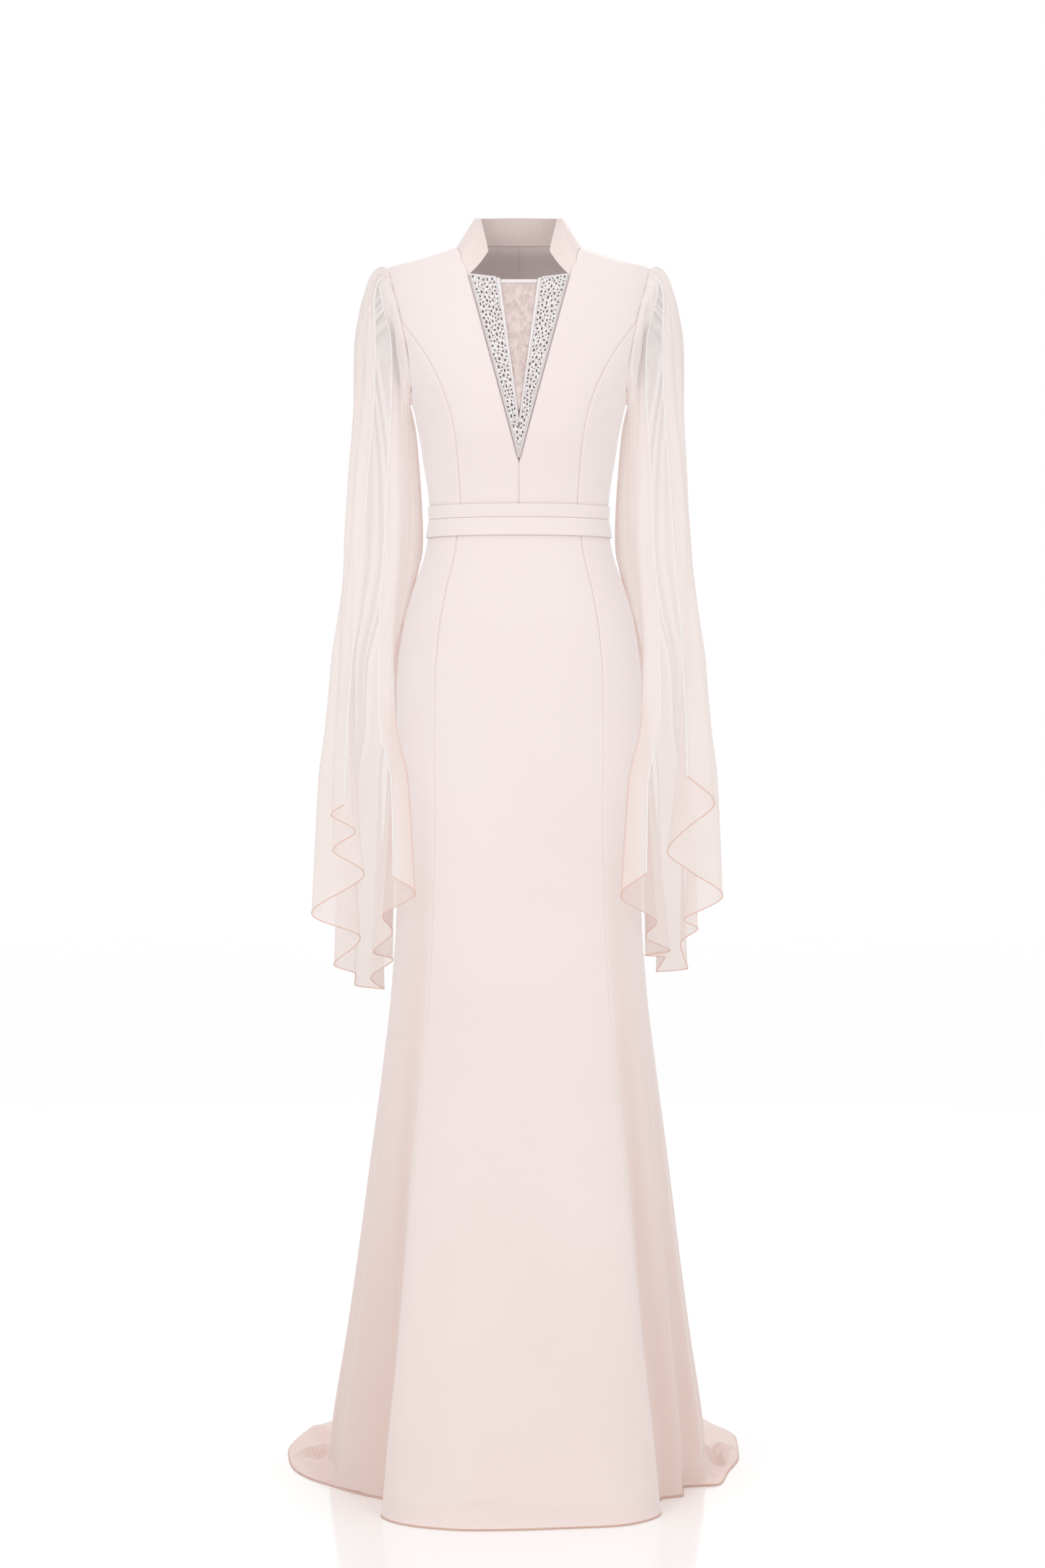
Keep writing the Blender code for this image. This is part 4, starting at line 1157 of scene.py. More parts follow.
# Strands of the embroidery: how fast their noise runs across and up, and how wide they are
STRANDS = (420, 250)
STRAND_WIDTH = 0.30

# The pile stands up in strands and in a rim round each eyelet, measured in eyelet sizes, and
# is even on the strip along the outer edge. Stitches at BED_PILE are level with the band.
RIM_AT = 1.40
RIM_WIDTH = 0.40
BASE_PILE = 0.30
STRAND_PILE = 0.50
RIM_PILE = 0.30
EDGE_PILE = 0.4
BED_PILE = 0.2
STITCH_RELIEF = 0.00055


def band_lines(rows):
    """The band's inner and outer edges, as rows of (across, height)."""
    tip = TRIM_TIP + TRIM_CUT
    far_height = np.linspace(tip, TRIM_CORNER[1], rows)
    near_height = np.linspace(tip, INNER_CORNER[1], rows)
    far = np.stack([centre_line(far_height) - SEAM_GAP, far_height], -1)
    near = np.stack([binding_edge(near_height), near_height], -1)
    return near, far


def eyelets(near, far, seed):
    """The band's eyelets, none touching, as (across, height, half length, half width)."""
    draw = random.Random(seed)
    forward, across = leaning(math.atan2(*(far[-1] - far[0])))
    found = np.empty((0, 4))
    for _ in range(EYELET_TRIES):
        row = draw.random() ** EYELET_CROWDING * (len(near) - 1)
        low, share = int(row), draw.random()
        length = np.linalg.norm(far[low] - near[low])
        if length < EDGE_STRIP + 3 * EYELET_MARGIN:
            continue
        share = (EYELET_MARGIN + share * (length - EDGE_STRIP - 2 * EYELET_MARGIN)) / length
        spot = near[low] * (1 - share) + far[low] * share
        spot = spot + (near[min(low + 1, len(near) - 1)] - near[low]) * (row - low)
        half = draw.uniform(*EYELET_LONG)
        wide = min(draw.uniform(*EYELET_SHORT), half)
        offset = found[:, :2] - spot
        apart_along = np.abs(offset @ forward) / (found[:, 2] + half + EYELET_APART)
        apart_across = np.abs(offset @ across) / (found[:, 3] + wide + EYELET_APART)
        if (apart_along**2 + apart_across**2 >= 1).all():
            found = np.concatenate([found, [(*spot, half, wide)]])
    return found, forward, across


def trim_band(side, mirror):
    seed = BAND_SEEDS[side]
    rows = round((TRIM_CORNER[1] - TRIM_TIP) / TRIM_STEP)
    near, far = band_lines(rows)
    columns = round(np.linalg.norm(far[-1] - near[-1]) * COLUMN_SHARE / TRIM_STEP)
    spots = strip_spots(near, far, np.linspace(0, 1, columns))
    holes, forward, across = eyelets(near, far, seed)
    nearest = np.full(spots.shape[:2], np.inf)
    for x, z, half, wide in holes:
        offset = spots - (x, z)
        reach = np.sqrt(((offset @ forward) / half) ** 2 + ((offset @ across) / wide) ** 2)
        nearest = np.minimum(nearest, reach)
    inside = nearest < 1
    grain = [noise.noise(Vector((x, z, seed))) for x, z in spots.reshape(-1, 2) * STRANDS]
    grain = np.array(grain).reshape(nearest.shape)
    strand = np.clip(1 - np.abs(grain) / STRAND_WIDTH, 0, 1)
    rim = np.exp(-(((np.clip(nearest, 1, 3) - RIM_AT) / RIM_WIDTH) ** 2))
    edge = np.linalg.norm(spots - spots[:, -1:], axis=-1) < EDGE_STRIP
    pile = np.where(edge, EDGE_PILE, BASE_PILE + STRAND_PILE * strand + RIM_PILE * rim)
    pile = np.where(inside, 0.0, pile)
    lift = np.where(inside, -EYELET_SUNK, TRIM_PROUD + STITCH_RELIEF * (pile - BED_PILE))
    points, out = on_torso(spots, mirror, lift)

    quads = quads_of(np.arange(points.shape[0] * columns).reshape(points.shape[0], columns))
    plain = (edge[:-1, :-1] & edge[1:, 1:]).reshape(-1)
    faces = (quads if mirror > 0 else quads[:, ::-1]).tolist()
    # The pile is also the band's mark, which its look paints as shade: low pile darker, eyelets
    # darkest
    piece = mesh_object(f"v_trim_{side}_cloth", points.reshape(-1, 3), faces, LOOKS["beaded"],
                        spots.reshape(-1, 2), np.clip(pile, 0, 1).reshape(-1))
    piece.data.materials.append(LOOKS["beaded_edge"])
    piece.data.polygons.foreach_set("material_index", plain.astype(np.int32))
    wall = piece.modifiers.new("wall", "SOLIDIFY")
    wall.thickness = LACE_SHELL
    wall.offset = -1.0
    place(piece, f"v_trim_{side}")
    top = near[-1] + np.linspace(0, 1, TOP_POINTS)[:, None] * (far[-1] - near[-1])
    top, _ = on_torso(top, mirror, np.full(len(top), TRIM_PROUD))
    binding = tube(f"v_trim_{side}_top", top, TOP_BINDING, LOOKS["binding"])
    place(binding, None)
    declare(piece, points, "stretched", [f"bodice_front_{side}_cloth"], [binding])


# The bindings: grid columns and rows, how much rounder and thinner they are than the band
BINDING_STEPS = 8
BINDING_ROWS = 160
BINDING_CROWN = 0.0005
BINDING_SLIM = 0.0004
INSERT_BINDING_ROWS = 14
INSERT_BINDING_STEP = 0.001
INSERT_BINDING_CROWN = 0.0006


def crowned_strip(name, near, far, mirror):
    """A narrow bound strip with a rounded face."""
    width = float(np.linalg.norm(far - near, axis=-1).mean())
    shares = spread(width, width / BINDING_STEPS, EDGE_LINES[:3])
    spots = strip_spots(near, far, shares)
    crown = BINDING_CROWN * (1 - (2 * shares - 1) ** 2)
    rise = TRIM_PROUD + crown[None, :] + np.zeros(spots.shape[:2])
    points, out = on_torso(spots, mirror, rise)
    thick = TRIM_THICK - BINDING_SLIM
    piece = shell(f"{name}_cloth", points, thick, LOOKS["binding"], out)
    place(piece, name)
    declare(piece, points, "stretched")


# The insert's lace: grid rows and columns, and how far its leaves' veins stand out
LACE_ROWS = 260
LACE_COLUMNS = 74
LACE_RAISED = 0.0004

# A leaf's soft border and the widths of its outline and vein
LEAF_BORDER = 0.002
LEAF_OUTLINE = 0.0005
LEAF_VEIN = 0.0004

# How blunt a leaf is, how much it deepens the net, how much its lines lighten it and how strong
# its vein is beside its outline
LEAF_BLUNT = 0.8
LEAF_DEEPENS = 0.75
LEAF_LIGHTENS = 0.3
VEIN_SHARE = 0.8

# Leaves: across and height where each starts, its lean in degrees, its length and half width
LEAVES = (
    (0.004, 1.510, 12, 0.030, 0.0085),
    (-0.012, 1.504, -14, 0.026, 0.0060),
    (-0.004, 1.478, -8, 0.026, 0.0060),
    (0.008, 1.474, 16, 0.024, 0.0052),
    (-0.001, 1.444, 6, 0.026, 0.0050),
    (0.000, 1.414, -5, 0.022, 0.0038),
    (0.000, 1.388, 3, 0.016, 0.0024),
)


def leaf_pattern(spots):
    """0.5 on the net, less within the soft leaves, more on their veins and outlines."""
    pattern = np.full(spots.shape[:2], 0.5)
    for x, z, lean, length, wide in LEAVES:
        along_leaf, across_leaf = leaning(math.radians(lean))
        offset = spots - (x, z)
        forward = offset @ along_leaf / length
        sideways = offset @ across_leaf
        body = wide * np.sin(np.pi * np.clip(forward, 0, 1)) ** LEAF_BLUNT
        within = (forward > 0) & (forward < 1)
        fill = within * np.clip((body - np.abs(sideways)) / LEAF_BORDER, 0, 1)
        outline = within * np.exp(-(((np.abs(sideways) - body) / LEAF_OUTLINE) ** 2))
        vein = within * np.exp(-((sideways / LEAF_VEIN) ** 2)) * VEIN_SHARE
        pattern = pattern * (1 - LEAF_DEEPENS * fill)
        pattern = np.maximum(pattern, 0.5 + LEAF_LIGHTENS * np.maximum(outline, vein))
    return pattern


def v_insert():
    start = INNER_TIP - BINDINGS_MEET + BINDING_RISE
    heights = np.linspace(start, INNER_CORNER[1], BINDING_ROWS)
    outer_edge = np.stack([binding_edge(heights), heights], -1)
    open_edge = np.stack([np.maximum(opening_edge(heights), SEAM_GAP / 4), heights], -1)
    for side, mirror in SIDES:
        crowned_strip(f"trim_binding_{side}", open_edge, outer_edge, mirror)

    heights = np.linspace(INNER_TIP + LACE_RISE, INSERT_TOP - INSERT_BINDING, LACE_ROWS)
    half = opening_edge(heights) + INSERT_TUCK
    shares = np.linspace(0, 1, LACE_COLUMNS)
    spots = strip_spots(np.stack([-half, heights], -1), np.stack([half, heights], -1), shares)
    raised = leaf_pattern(spots)
    under = TRIM_PROUD - TRIM_THICK - 2 * SEAM_GAP
    points, out = on_torso(spots, 1, under + LACE_RAISED * raised)
    piece = shell("lace_insert_cloth", points, LACE_SHELL, LOOKS["lace"], out, raised)
    place(piece, "lace_insert")
    declare(piece, points, "stretched")

    top = np.linspace(INSERT_TOP - INSERT_BINDING, INSERT_TOP, INSERT_BINDING_ROWS)
    half = opening_edge(top) - SEAM_GAP
    shares = spread(2 * float(half.mean()), INSERT_BINDING_STEP)
    spots = strip_spots(np.stack([-half, top], -1), np.stack([half, top], -1), shares)
    crown = INSERT_BINDING_CROWN * (1 - np.linspace(-1, 1, len(top))[:, None] ** 2)
    points, out = on_torso(spots, 1, under + SEAM_GAP + crown + np.zeros(spots.shape[:2]))
    piece = shell("insert_binding_cloth", points, LACE_THICK, LOOKS["binding"], out)
    place(piece, "insert_binding")
    declare(piece, points, "stretched")


# Collar and waistband

# Painted shade: the collar's crepe is deepened towards peach all over by this much
COLLAR_PAINTED_SHADE = 0.30
COLLAR_RISE = 0.040
COLLAR_STEP = 0.0022

# Columns by the front end, as shares of one, and how fast the foot's line is left going up
COLLAR_END_COLUMNS = (0.02, 0.08, 0.2)
COLLAR_FOOT_POWER = 4

# The edge from the collar's base to its tip bows down and in a little
COLLAR_END_BOW = 0.0011

# Grid rows at the collar's tip, in place of any that lie within COLLAR_TIP_ROOM of it
COLLAR_TIP_LINES = np.array([-0.02, 0.0, 0.02])
COLLAR_TIP_ROOM = 0.012


def stand_collar():
    count = len(COLLAR_SHARES) - 1
    seam = smooth_rows(neck_seam())
    fine = np.linspace(0, count, len(seam))
    foot = torso(seam[:, 0], seam[:, 1]) - np.array([0, 0, COLLAR_SINK])
    share = np.interp(fine, np.arange(count + 1), COLLAR_SHARES)
    top = np.stack([COLLAR_TOP.at(column, share) for column in PLACE_COLUMNS], -1)

    up = spread(COLLAR_RISE, COLLAR_STEP)
    tip = COLLAR_END.key[1]
    up = up[np.abs(up - tip) > COLLAR_TIP_ROOM]
    up = np.unique(np.concatenate([up, tip + COLLAR_TIP_LINES]))
    corners = [COLLAR_END.values[column] for column in PLACE_COLUMNS]
    end = np.stack([np.interp(up, COLLAR_END.key, corner) for corner in corners], -1)
    bow = np.sin(np.pi * np.clip(up / tip, 0, 1)) * COLLAR_END_BOW
    end -= bow[:, None] * (1, 0, 1)

    up = up[:, None, None]
    half = foot * (1 - up) + top * up
    fade = np.clip(1 - share / COLLAR_END_REACH, 0, 1)[None, :, None] ** 2
    half += fade * (end[:, None] - half[:, :1])
    half += (foot - half[:1]) * (1 - up) ** COLLAR_FOOT_POWER
    columns = np.arange(len(seam), dtype=float)
    columns = np.concatenate([columns[:1], COLLAR_END_COLUMNS, columns[1:]])
    half = rows_at(half.transpose(1, 0, 2), columns).transpose(1, 0, 2)
    outer = np.concatenate([half, half[:, -2::-1] * np.array([-1, 1, 1])], 1)
    piece = shell("stand_collar_cloth", outer, CREPE_SHELL, LOOKS["crepe"], outward(outer),
                  np.full(outer.shape[:2], COLLAR_PAINTED_SHADE))
    place(piece, "stand_collar")
    declare(piece, outer, "stretched")


# The band's strips: name, section, lower and upper edge, thickness and seed of its ripple
BAND_STRIPS = (
    ("waistband_upper", TORSO, BAND_SPLIT, BAND_TOP, BAND_THICK, 3),
    ("waistband_lower", SKIRT, BAND_BOTTOM, BAND_SPLIT, BAND_THICK + BAND_PROUD, 8),
)
BAND_TURNS = 361
BAND_STEP = 0.0018
BAND_EDGE_LINES = (0.0002, 0.0005, 0.0009, 0.0014)
BAND_CROWN = 0.0003

# A faint ripple of the band, and how fast it runs round and up
BAND_RIPPLE = 0.00035
RIPPLE_ROUND = 0.16
RIPPLE_UP = 2.2


def waistband():
    for name, table, low, high, thick, seed in BAND_STRIPS:
        turn = np.linspace(-BAND_END_TURN, BAND_END_TURN, BAND_TURNS)[None, :]
        shares = spread(high - low, BAND_STEP, BAND_EDGE_LINES)
        face = ring(table, turn, (low + shares * (high - low))[:, None])
        round_x, round_y = np.gradient(face[..., 0], axis=1), np.gradient(face[..., 1], axis=1)
        out = unit(np.stack([round_y, -round_x, 0 * round_x], -1))
        ripple = [[noise.noise(Vector((t * RIPPLE_ROUND, s * RIPPLE_UP, seed))) for t in turn[0]]
                  for s in shares]
        crown = BAND_CROWN * np.sin(np.pi * shares)[:, None]
        lift = BAND_EASE + thick + crown + BAND_RIPPLE * np.array(ripple)
        points = face + lift[..., None] * out
        piece = shell(f"{name}_cloth", points, thick, LOOKS["crepe"], out)
        place(piece, name)
        declare(piece, points, "stretched")


# Skirt

SKIRT_ROW_STEPS = 8
SKIRT_STEP_TURN = 1.4
SKIRT_END_ROWS = np.array([0.02, 0.06, 0.15, 0.35]) / SKIRT_ROW_STEPS
SKIRT_EDGE_TURNS = (0.03, 0.10, 0.22, 0.42, 0.75, 1.2)

# The skirt's folds fade below this height, to this share of their depth
FOLDS_FADE_AT = 0.05
FOLDS_LEAST = 0.15


def fold_relief(turn, height):
    """How far the skirt stands out in its soft folds."""
    relief = np.zeros(np.broadcast(turn, height).shape)
    for at, wide, top, full, depth in SKIRT_FOLDS:
        apart = (turn - at + 180) % 360 - 180
        grow = np.clip((top - height) / (top - full), 0, 1)
        grow = grow * grow * (3 - 2 * grow)
        calm = np.clip(height / FOLDS_FADE_AT, FOLDS_LEAST, 1)
        relief += depth * np.exp(-((apart / wide) ** 2)) * grow * calm
    return relief


# Painted shade on the crepe, as a deeper peach: all round, then more beside the front panel, most
# in the hollow there, and less again towards the back
SHADE_TOP = 0.95
SHADE_EVEN = 0.40
SHADE_BESIDE = 0.75
SHADE_HOLLOW = 0.45
SHADE_MOST = 1.2
SHADE_BEHIND = 0.6
BESIDE_TURNS = 3
BEHIND_TURNS = (90, 140)
HOLLOW_TURN = 50
HOLLOW_SPREAD = 4.5


def skirt_painted_shade(turn, height):
    """Painted shade on the crepe as deeper peach: low down, most in the hollows by the front
    panel.
    """
    turn = np.abs(turn)
    low = np.clip(1 - height / SHADE_TOP, 0, 1)
    beside = np.clip((turn - SKIRT_SEAMS[2]) / BESIDE_TURNS, 0, 1)
    beside = beside * np.interp(turn, BEHIND_TURNS, (1.0, SHADE_BEHIND))
    hollow = np.exp(-(((turn - HOLLOW_TURN) / HOLLOW_SPREAD) ** 2))
    peach = low * (SHADE_EVEN + SHADE_BESIDE * beside + SHADE_HOLLOW * hollow * beside)
    return np.clip(peach, 0, SHADE_MOST)


# How strongly the skirt's seams show by height: crisp below the waistband and again low down
SEAM_HEIGHTS = (0.0, 0.42, 0.60, 0.98, 1.10, 1.241)
SEAM_STRENGTHS = (0.8, 0.7, 0.15, 0.15, 0.9, 1.0)

# Folds of the cloth that lies on the floor, as rows like the bodice's but in the view from above
TRAIN_CREASES = (
    (-0.302, 0.292, -0.240, 0.215, 0.0110, 0.010, 0.004),
    (-0.309, 0.262, -0.240, 0.178, 0.0080, -0.005, -0.005),
    (-0.245, 0.180, -0.316, 0.104, 0.0110, 0.013, 0.006),
    (-0.280, 0.092, -0.246, 0.012, 0.0090, 0.014, -0.005),
    (-0.226, -0.048, -0.204, 0.004, 0.0100, 0.010, 0.002),
    (0.303, 0.182, 0.252, 0.152, 0.0080, 0.013, 0.003),
    (0.300, 0.142, 0.256, 0.128, 0.0060, -0.005, 0.002),
    (0.288, 0.074, 0.240, 0.116, 0.0085, 0.014, -0.004),
    (0.212, -0.006, 0.190, 0.036, 0.0085, 0.011, 0.003),
    (0.272, 0.012, 0.236, 0.046, 0.0080, 0.006, 0.003),
    (-0.262, 0.395, -0.176, 0.306, 0.0120, 0.008, 0.008),
    (-0.170, 0.480, -0.118, 0.362, 0.0130, 0.007, -0.006),
    (-0.040, 0.530, -0.030, 0.400, 0.0130, 0.008, 0.006),
    (0.082, 0.525, 0.062, 0.395, 0.0120, 0.007, -0.006),
    (0.186, 0.462, 0.128, 0.356, 0.0130, 0.008, 0.007),
    (0.268, 0.352, 0.196, 0.284, 0.0120, 0.007, -0.005),
)
# Cloth counts as lying below TRAIN_LYING, and seams and folds don't show below RELIEF_BOTTOM
TRAIN_LYING = 0.05
RELIEF_BOTTOM = 0.03

# The last rows of the skirt come down to HEM_HEIGHT
HEM_SETTLES = 0.9
HEM_HEIGHT = 0.0024
LOWEST = 0.0004

# The hem's cord: its lowest middle as a share of its radius, and the least step along it
PIPING_LOWEST = 0.8
PIPING_STEP = 0.0012

# The front panel's pressed edges, paler than the crepe as a painted highlight, up to this height
FRONT_EDGE = 0.0009
FRONT_EDGE_TOP = 0.62


def skirt_trims(name, grid, out, height):
    """The cord of a panel's hem, dark terracotta as painted contact shadow, and the pressed edges
    of the front one, pale as a painted highlight.
    """
    path = grid[-1].copy()
    path[:, 2] = np.maximum(path[:, 2] - SKIRT_PIPING, SKIRT_PIPING * PIPING_LOWEST)
    steps = np.linalg.norm(np.diff(path, axis=0), axis=1)
    path = path[np.concatenate([[True], steps > PIPING_STEP])]
    # The cord's terracotta is partly the rolled hem and partly painted contact shadow against the
    # floor
    trims = [tube(f"{name}_hem", path, SKIRT_PIPING, LOOKS["skirt_hem_and_shadow"])]
    if name == "skirt_front":
        low = height[:, 0] < FRONT_EDGE_TOP
        for side, column in (("right", 0), ("left", -1)):
            fold = grid[low, column] - FRONT_EDGE / 2 * out[low, column]
            trims.append(tube(f"{name}_edge_{side}", fold, FRONT_EDGE, LOOKS["front_edge"]))
    for trim in trims:
        place(trim, None)
    return trims


def skirt():
    last = len(SKIRT_HEIGHTS) - 1 + len(SKIRT_SHARES)
    rows = with_ends(np.linspace(0, last, last * SKIRT_ROW_STEPS + 1), SKIRT_END_ROWS)
    settle = np.clip((rows - rows[-1] + HEM_SETTLES) / HEM_SETTLES, 0, 1)[:, None] ** 2
    starts = (-180, *SKIRT_SEAMS[:-1])
    for name, start, end in zip(SKIRT_NAMES, starts, SKIRT_SEAMS):
        count = round((end - start) / SKIRT_STEP_TURN)
        turns = grid_lines(start, end, count, SKIRT_EDGE_TURNS)
        grid = np.stack([skirt_column(turn, rows) for turn in turns], 1)
        height = grid[..., 2]
        fade = np.interp(height, SEAM_HEIGHTS, SEAM_STRENGTHS)
        relief = seam_relief(to_ends(grid, 1)) * fade + fold_relief(turns[None, :], height)
        relief = np.where(height < RELIEF_BOTTOM, 0, relief)
        lying = np.clip(1 - height / TRAIN_LYING, 0, 1)
        grid = grid + relief[..., None] * outward(grid)
        grid[..., 2] += lying * crease_relief(grid, TRAIN_CREASES, 1)
        grid[..., 2] += np.where(lying > 0, settle, 0) * (HEM_HEIGHT - grid[..., 2])
        grid[..., 2] = np.maximum(grid[..., 2], LOWEST)
        out = outward(grid)
        # The skirt's mark is painted shade: deeper peach low down and in the hollows beside the
        # front panel
        piece = shell(f"{name}_cloth", grid, CREPE_SHELL, LOOKS["crepe"], out,
                      skirt_painted_shade(turns[None, :], height))
        place(piece, name)
        declare(piece, grid, "hung", trims=skirt_trims(name, grid, out, height))


# Sleeves

# Grid columns for each fold, grid rows of the head and below it, and more lines by the edges:
# for columns in fold edges, for rows HEM_LINES_SHARE of that in shares of the fall
SLEEVE_FOLD_STEPS = 19
HEAD_ROWS = 40
HANGING_ROWS = 66
SLEEVE_EDGE_LINES = np.array([0.008, 0.020, 0.045])
HEM_LINES_SHARE = 20

# Gathers for each fold edge, and what makes them uneven: rows of size, rate and phase of a wave
FINE_GATHER = 0.0020
GATHER_COUNT = 2.1
GATHER_WANDER = ((0.45, 1.9, 0), (0.3, 4.3, 1))
GATHER_STRENGTH = (0.65, 0.35, 2.7)
GATHER_STARTS = 0.02
GATHER_REACH = 0.11
GATHER_POWER = 1.5

# Flutes for each fold edge, where they start down the fall and how fast they come and go
FLUTE = 0.0014
FLUTE_COUNT = 0.9
FLUTE_WANDER = (0.35, 1.3, 2)
FLUTE_STARTS = 0.05
FLUTE_GROWS = 0.2
FLUTE_FADES = 0.5

# How fast a long crease comes in below its start and fades above the hem, and its profile
CREASE_GROWS = 0.12
CREASE_FADES = 0.35
CREASE_POWER = 1.6

# The sleeve's surface is eased where its head meets the part that hangs: over this share of its
# fall, this many times
HEAD_EASE_SHARE = 0.10
HEAD_EASE_PASSES = 70

SLIT_ROLL = 0.0009

# The fold edges among which the innermost fold lies, over how many grid rows its painted shadow
# line is evened out, the line's width in fold edges, and how far down it starts and is full
FOLD_SEARCH = (11.0, 16.9)
FOLD_EVEN_ROWS = 9
FOLD_LINE = 0.16
FOLD_SHOWS = (0.30, 0.45)

# Painted shade beside that line, as deeper peach: how strong, how wide its full part and how far
# it fades on each side, in fold edges
FOLD_SIDE_SHADE = 0.32
SIDE_SHADE_WIDTH = 0.8
SIDE_SHADE_FADES = (1.6, 0.5)

# The sleeve's head is tucked this far up under the bodice's edge, and this far in
SLEEVE_TUCK = 0.0055
SLEEVE_TUCK_UNDER = 0.0014

# The slits' rolled edges start this many grid rows down
ROLL_FROM = 4

# Long creases of a sleeve: the fold edge each starts and ends at, how wide it is in fold edges,
# how far down it starts and how deep it is
SLEEVE_CREASES = (
    (0.75, 1.00, 0.42, 0.10, 0.0024),
    (1.60, 1.80, 0.36, 0.06, -0.0020),
    (2.70, 2.60, 0.44, 0.12, 0.0026),
    (3.65, 3.90, 0.38, 0.05, -0.0022),
    (5.20, 5.00, 0.46, 0.10, 0.0028),
    (6.90, 7.10, 0.44, 0.15, -0.0026),
    (8.60, 8.40, 0.50, 0.10, 0.0028),
    (10.4, 10.5, 0.44, 0.14, -0.0026),
    (12.1, 12.3, 0.46, 0.10, 0.0028),
    (13.8, 13.6, 0.40, 0.08, -0.0022),
    (14.9, 15.1, 0.34, 0.06, 0.0022),
    (15.8, 15.9, 0.30, 0.10, -0.0018),
    (16.5, 16.5, 0.26, 0.05, 0.0016),
)


def wave(edges, size, rate, phase):
    return size * np.sin(edges * rate + phase)


def sleeve_relief(edges, fall):
    """Fine gathers at the armhole that run out into long soft flutes."""
    uneven = edges * GATHER_COUNT
    for row in GATHER_WANDER:
        uneven = uneven + wave(edges, *row)
    steady, varied, rate = GATHER_STRENGTH
    fine = np.cos(2 * np.pi * uneven) * (steady + wave(edges, varied, rate, 0))
    top = np.exp(-((fall / GATHER_REACH) ** GATHER_POWER))
    top = np.clip(fall / GATHER_STARTS, 0, 1) * top
    slow = np.cos(2 * np.pi * (edges * FLUTE_COUNT + wave(edges, *FLUTE_WANDER)))
    long = np.clip((fall - FLUTE_STARTS) / FLUTE_GROWS, 0, 1)
    long = long * np.clip((1 - fall) / FLUTE_FADES, 0, 1)
    relief = FINE_GATHER * fine * top + FLUTE * slow * long
    for start, end, wide, begin, depth in SLEEVE_CREASES:
        at = start + (end - start) * fall
        grow = np.clip((fall - begin) / CREASE_GROWS, 0, 1)
        grow = grow * np.clip((1 - fall) / CREASE_FADES, 0, 1)
        profile = np.exp(-(np.abs((edges - at) / wide) ** CREASE_POWER))
        relief = relief + depth * grow * profile
    return relief


def eased_head(points, fall):
    """The sleeve's grid with the bend below its head smoothed down its columns."""
    near = np.exp(-(((fall[1:-1] - SLEEVE_EASE) / HEAD_EASE_SHARE) ** 2))[:, None, None]
    points = points.copy()
    for _ in range(HEAD_EASE_PASSES):
        points[1:-1] += near * ((points[:-2] + points[2:]) / 2 - points[1:-1]) / 2
    return points


def fold_painted_shade(points, edges, fall):
    """Painted shade: 1 on a shadow line along the innermost fold, where the cloth is seen edge on,
    fading to 0 beside it.
    """
    inner = (edges > FOLD_SEARCH[0]) & (edges < FOLD_SEARCH[1])
    nearest = edges[inner][np.argmin(np.abs(points[:, inner, 0]), axis=1)]
    padded = np.pad(nearest, FOLD_EVEN_ROWS // 2, "edge")
    nearest = np.convolve(padded, np.full(FOLD_EVEN_ROWS, 1 / FOLD_EVEN_ROWS), "valid")
    apart = edges[None, :] - nearest[:, None]
    line = np.interp(fall, FOLD_SHOWS, (0, 1))[:, None] * np.exp(-((apart / FOLD_LINE) ** 2))
    before = np.minimum(apart + SIDE_SHADE_WIDTH, 0) / SIDE_SHADE_FADES[0]
    beyond = np.maximum(apart, 0) / SIDE_SHADE_FADES[1]
    return np.maximum(line, FOLD_SIDE_SHADE * np.exp(-(before**2) - beyond**2))


def sleeves():
    for side, folds, mirror in (("left", LEFT_SLEEVE, 1), ("right", RIGHT_SLEEVE, -1)):
        count = int(folds.key[-1])
        edges = np.linspace(0, count, count * SLEEVE_FOLD_STEPS + 1)
        edges = with_ends(edges, SLEEVE_EDGE_LINES)
        head = np.linspace(0, SLEEVE_EASE, HEAD_ROWS)[:-1]
        hanging = np.linspace(SLEEVE_EASE, 1, HANGING_ROWS)
        last = 1 - SLEEVE_EDGE_LINES[::-1] / HEM_LINES_SHARE
        fall = np.concatenate([head, hanging[:-1], last, hanging[-1:]])
        middle = eased_head(sleeve_surface(folds, edges, fall), fall)
        out = normals(middle)
        relief = sleeve_relief(edges[None, :], fall[:, None])
        outer = clear_of_body(middle + (CHIFFON_SHELL / 2 + relief)[..., None] * out)
        tuck = outer[0] - SLEEVE_TUCK * unit(outer[1] - outer[0]) - SLEEVE_TUCK_UNDER * out[0]
        outer = np.concatenate([tuck[None], outer]) * (mirror, 1, 1)
        out = np.concatenate([out[:1], out]) * (mirror, 1, 1)
        # The sleeve's mark is painted shade along its innermost fold
        fold = fold_painted_shade(outer, edges, np.concatenate([fall[:1], fall]))
        piece = shell(f"sleeve_{side}_cloth", outer, CHIFFON_SHELL, LOOKS["chiffon"], out, fold)

        # Light passes sheer cloth, so it casts no shadow and blocks no light between other pieces
        piece.visible_shadow = False
        piece.visible_diffuse = False
        place(piece, f"sleeve_{side}")
        trims = []
        for name, path, roll, look in (
            ("hem", outer[-1], HEM_ROLL, "hem"),
            ("outer_edge", outer[ROLL_FROM:, 0], SLIT_ROLL, "slit"),
            ("inner_edge", outer[ROLL_FROM:, -1], SLIT_ROLL, "slit"),
        ):
            trim = tube(f"sleeve_{side}_{name}", path, roll, LOOKS[look])
            place(trim, None)
            trims.append(trim)
        declare(piece, outer, "gathered", [f"bodice_front_{side}_cloth"], trims)


# Camera and studio


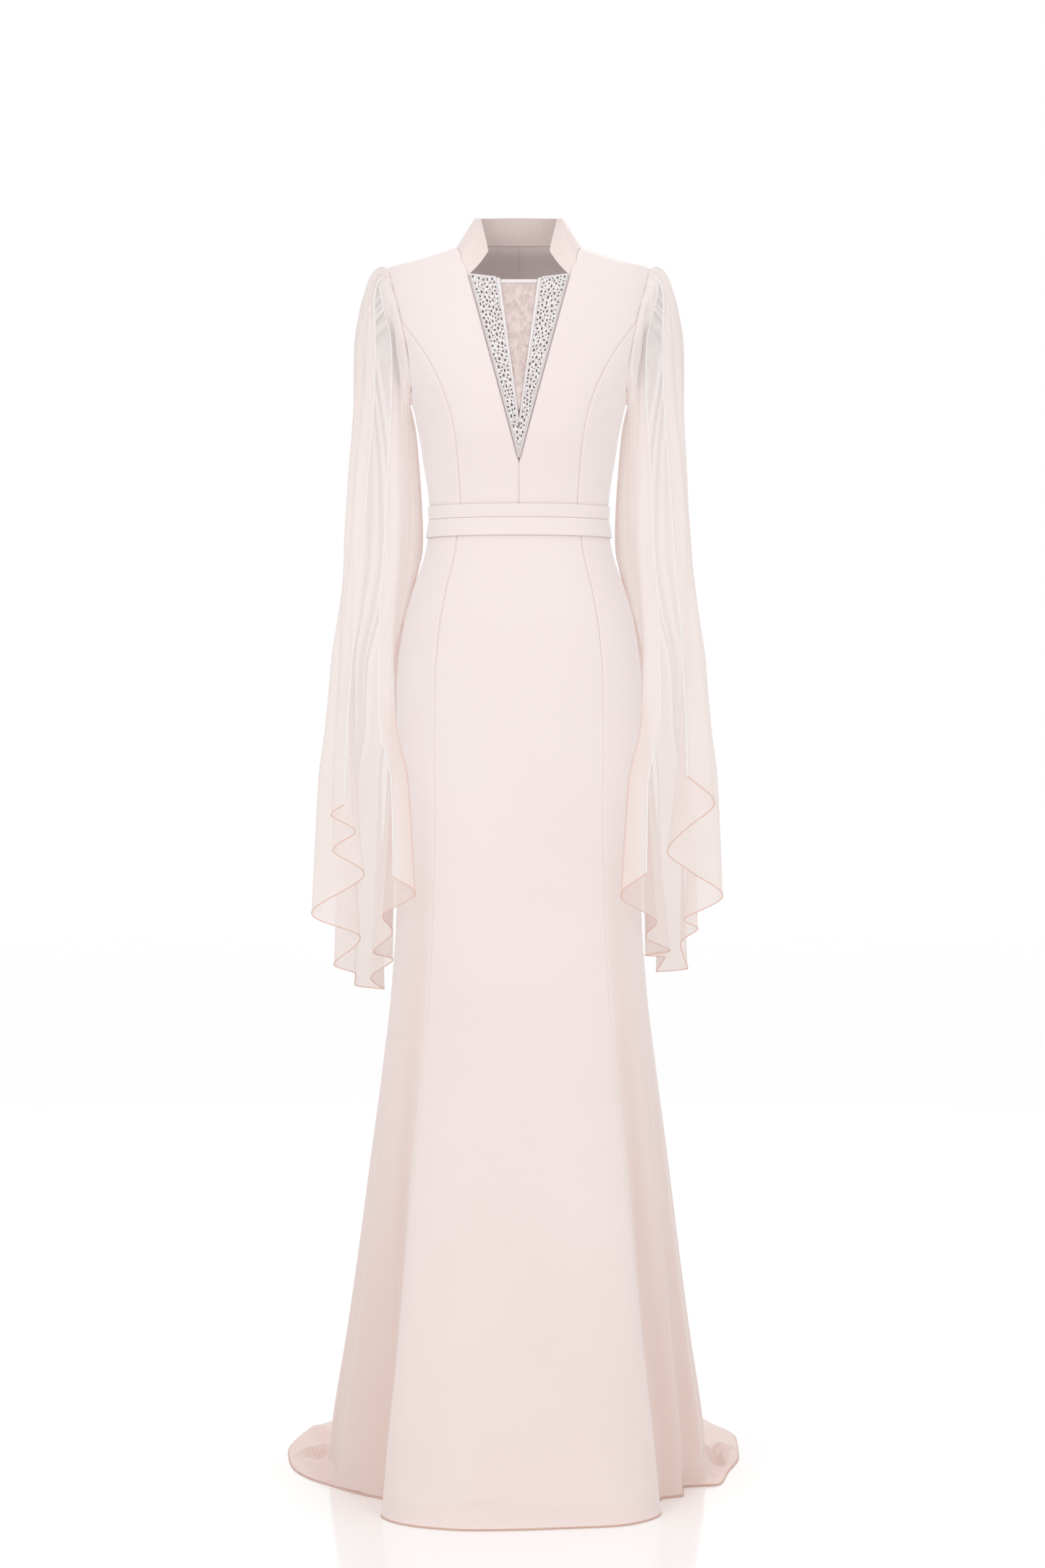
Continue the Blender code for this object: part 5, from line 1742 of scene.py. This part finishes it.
def camera():
    data = bpy.data.cameras.new("camera")
    made = added("camera", data)
    data.sensor_fit = "VERTICAL"
    data.sensor_height = SENSOR
    data.lens = SENSOR * FOCAL_PIXELS / IMAGE_HEIGHT
    data.shift_x = (IMAGE_WIDTH / 2 - CENTRE_COLUMN) / IMAGE_HEIGHT
    data.shift_y = -(IMAGE_HEIGHT / 2 - HORIZON_ROW) / IMAGE_HEIGHT
    made.location = (0, -CAMERA_DISTANCE, CAMERA_HEIGHT - SHOULDER_HEIGHT)
    made.rotation_euler = (math.radians(90), 0, 0)
    bpy.context.scene.camera = made


def softbox(name, where, power, size, aim):
    data = bpy.data.lights.new(name, "AREA")
    data.shape = "DISK"
    data.size = size
    data.energy = power
    made = added(name, data)
    made.location = where
    made.rotation_euler = (Vector(aim) - Vector(where)).to_track_quat("-Z", "Y").to_euler()


def overhead():
    data = bpy.data.lights.new("overhead", "SUN")
    data.energy = OVERHEAD_LIGHT
    data.angle = math.radians(OVERHEAD_SPREAD)
    added("overhead", data).rotation_euler = (math.radians(OVERHEAD_TILT), 0, 0)


# The room's light on the gown, beside the white that the camera and the floor's mirror see
WORLD_LIGHT = 0.84
OVERHEAD_LIGHT = 0.42
OVERHEAD_SPREAD = 60
OVERHEAD_TILT = 12

# Softboxes: name, place, power, size and the point that each is aimed at
SOFTBOXES = (
    ("key", (-1.8, -3.2, 1.1), 20, 1.6, (0, 0, -0.2)),
    ("fill", (2.4, -3.2, 0.7), 14, 1.8, (0, 0, -0.2)),
    ("back", (0.6, 3.4, 1.2), 19, 2.0, (0, 0, -0.3)),
)

# Layers of sheer cloth that a ray may pass
SHEER_LAYERS = 40
FLOOR_SIZE = 60


def room():
    """A white room, brighter to the camera and in the floor's mirror than it lights the gown."""
    world = bpy.data.worlds.new("room")
    bpy.context.scene.world = world
    world.use_nodes = True
    tree = world.node_tree
    background = tree.nodes["Background"]
    background.inputs["Color"].default_value = (1.0, 1.0, 1.0, 1.0)
    path = tree.nodes.new("ShaderNodeLightPath")
    level = tree.nodes.new("ShaderNodeMapRange")
    level.inputs["To Min"].default_value = WORLD_LIGHT
    level.inputs["To Max"].default_value = 1.0
    seen = tree.nodes.new("ShaderNodeMath")
    seen.operation = "MAXIMUM"
    tree.links.new(path.outputs["Is Camera Ray"], seen.inputs[0])
    tree.links.new(path.outputs["Is Glossy Ray"], seen.inputs[1])
    tree.links.new(seen.outputs["Value"], level.inputs["Value"])
    tree.links.new(level.outputs["Result"], background.inputs["Strength"])


def studio():
    """The room, its lights and a pale floor."""
    bpy.context.scene.view_settings.view_transform = "Standard"
    bpy.context.scene.cycles.transparent_max_bounces = SHEER_LAYERS
    room()
    for row in SOFTBOXES:
        softbox(*row)
    overhead()
    bpy.ops.mesh.primitive_plane_add(size=FLOOR_SIZE, location=(0, 0, -SHOULDER_HEIGHT))
    floor = bpy.context.object
    floor.name = "floor"
    floor.data.materials.append(floor_look())


camera()
studio()
bodice()
for band_side, band_mirror in SIDES:
    trim_band(band_side, band_mirror)
v_insert()
stand_collar()
waistband()
skirt()
sleeves()
state_sheets()
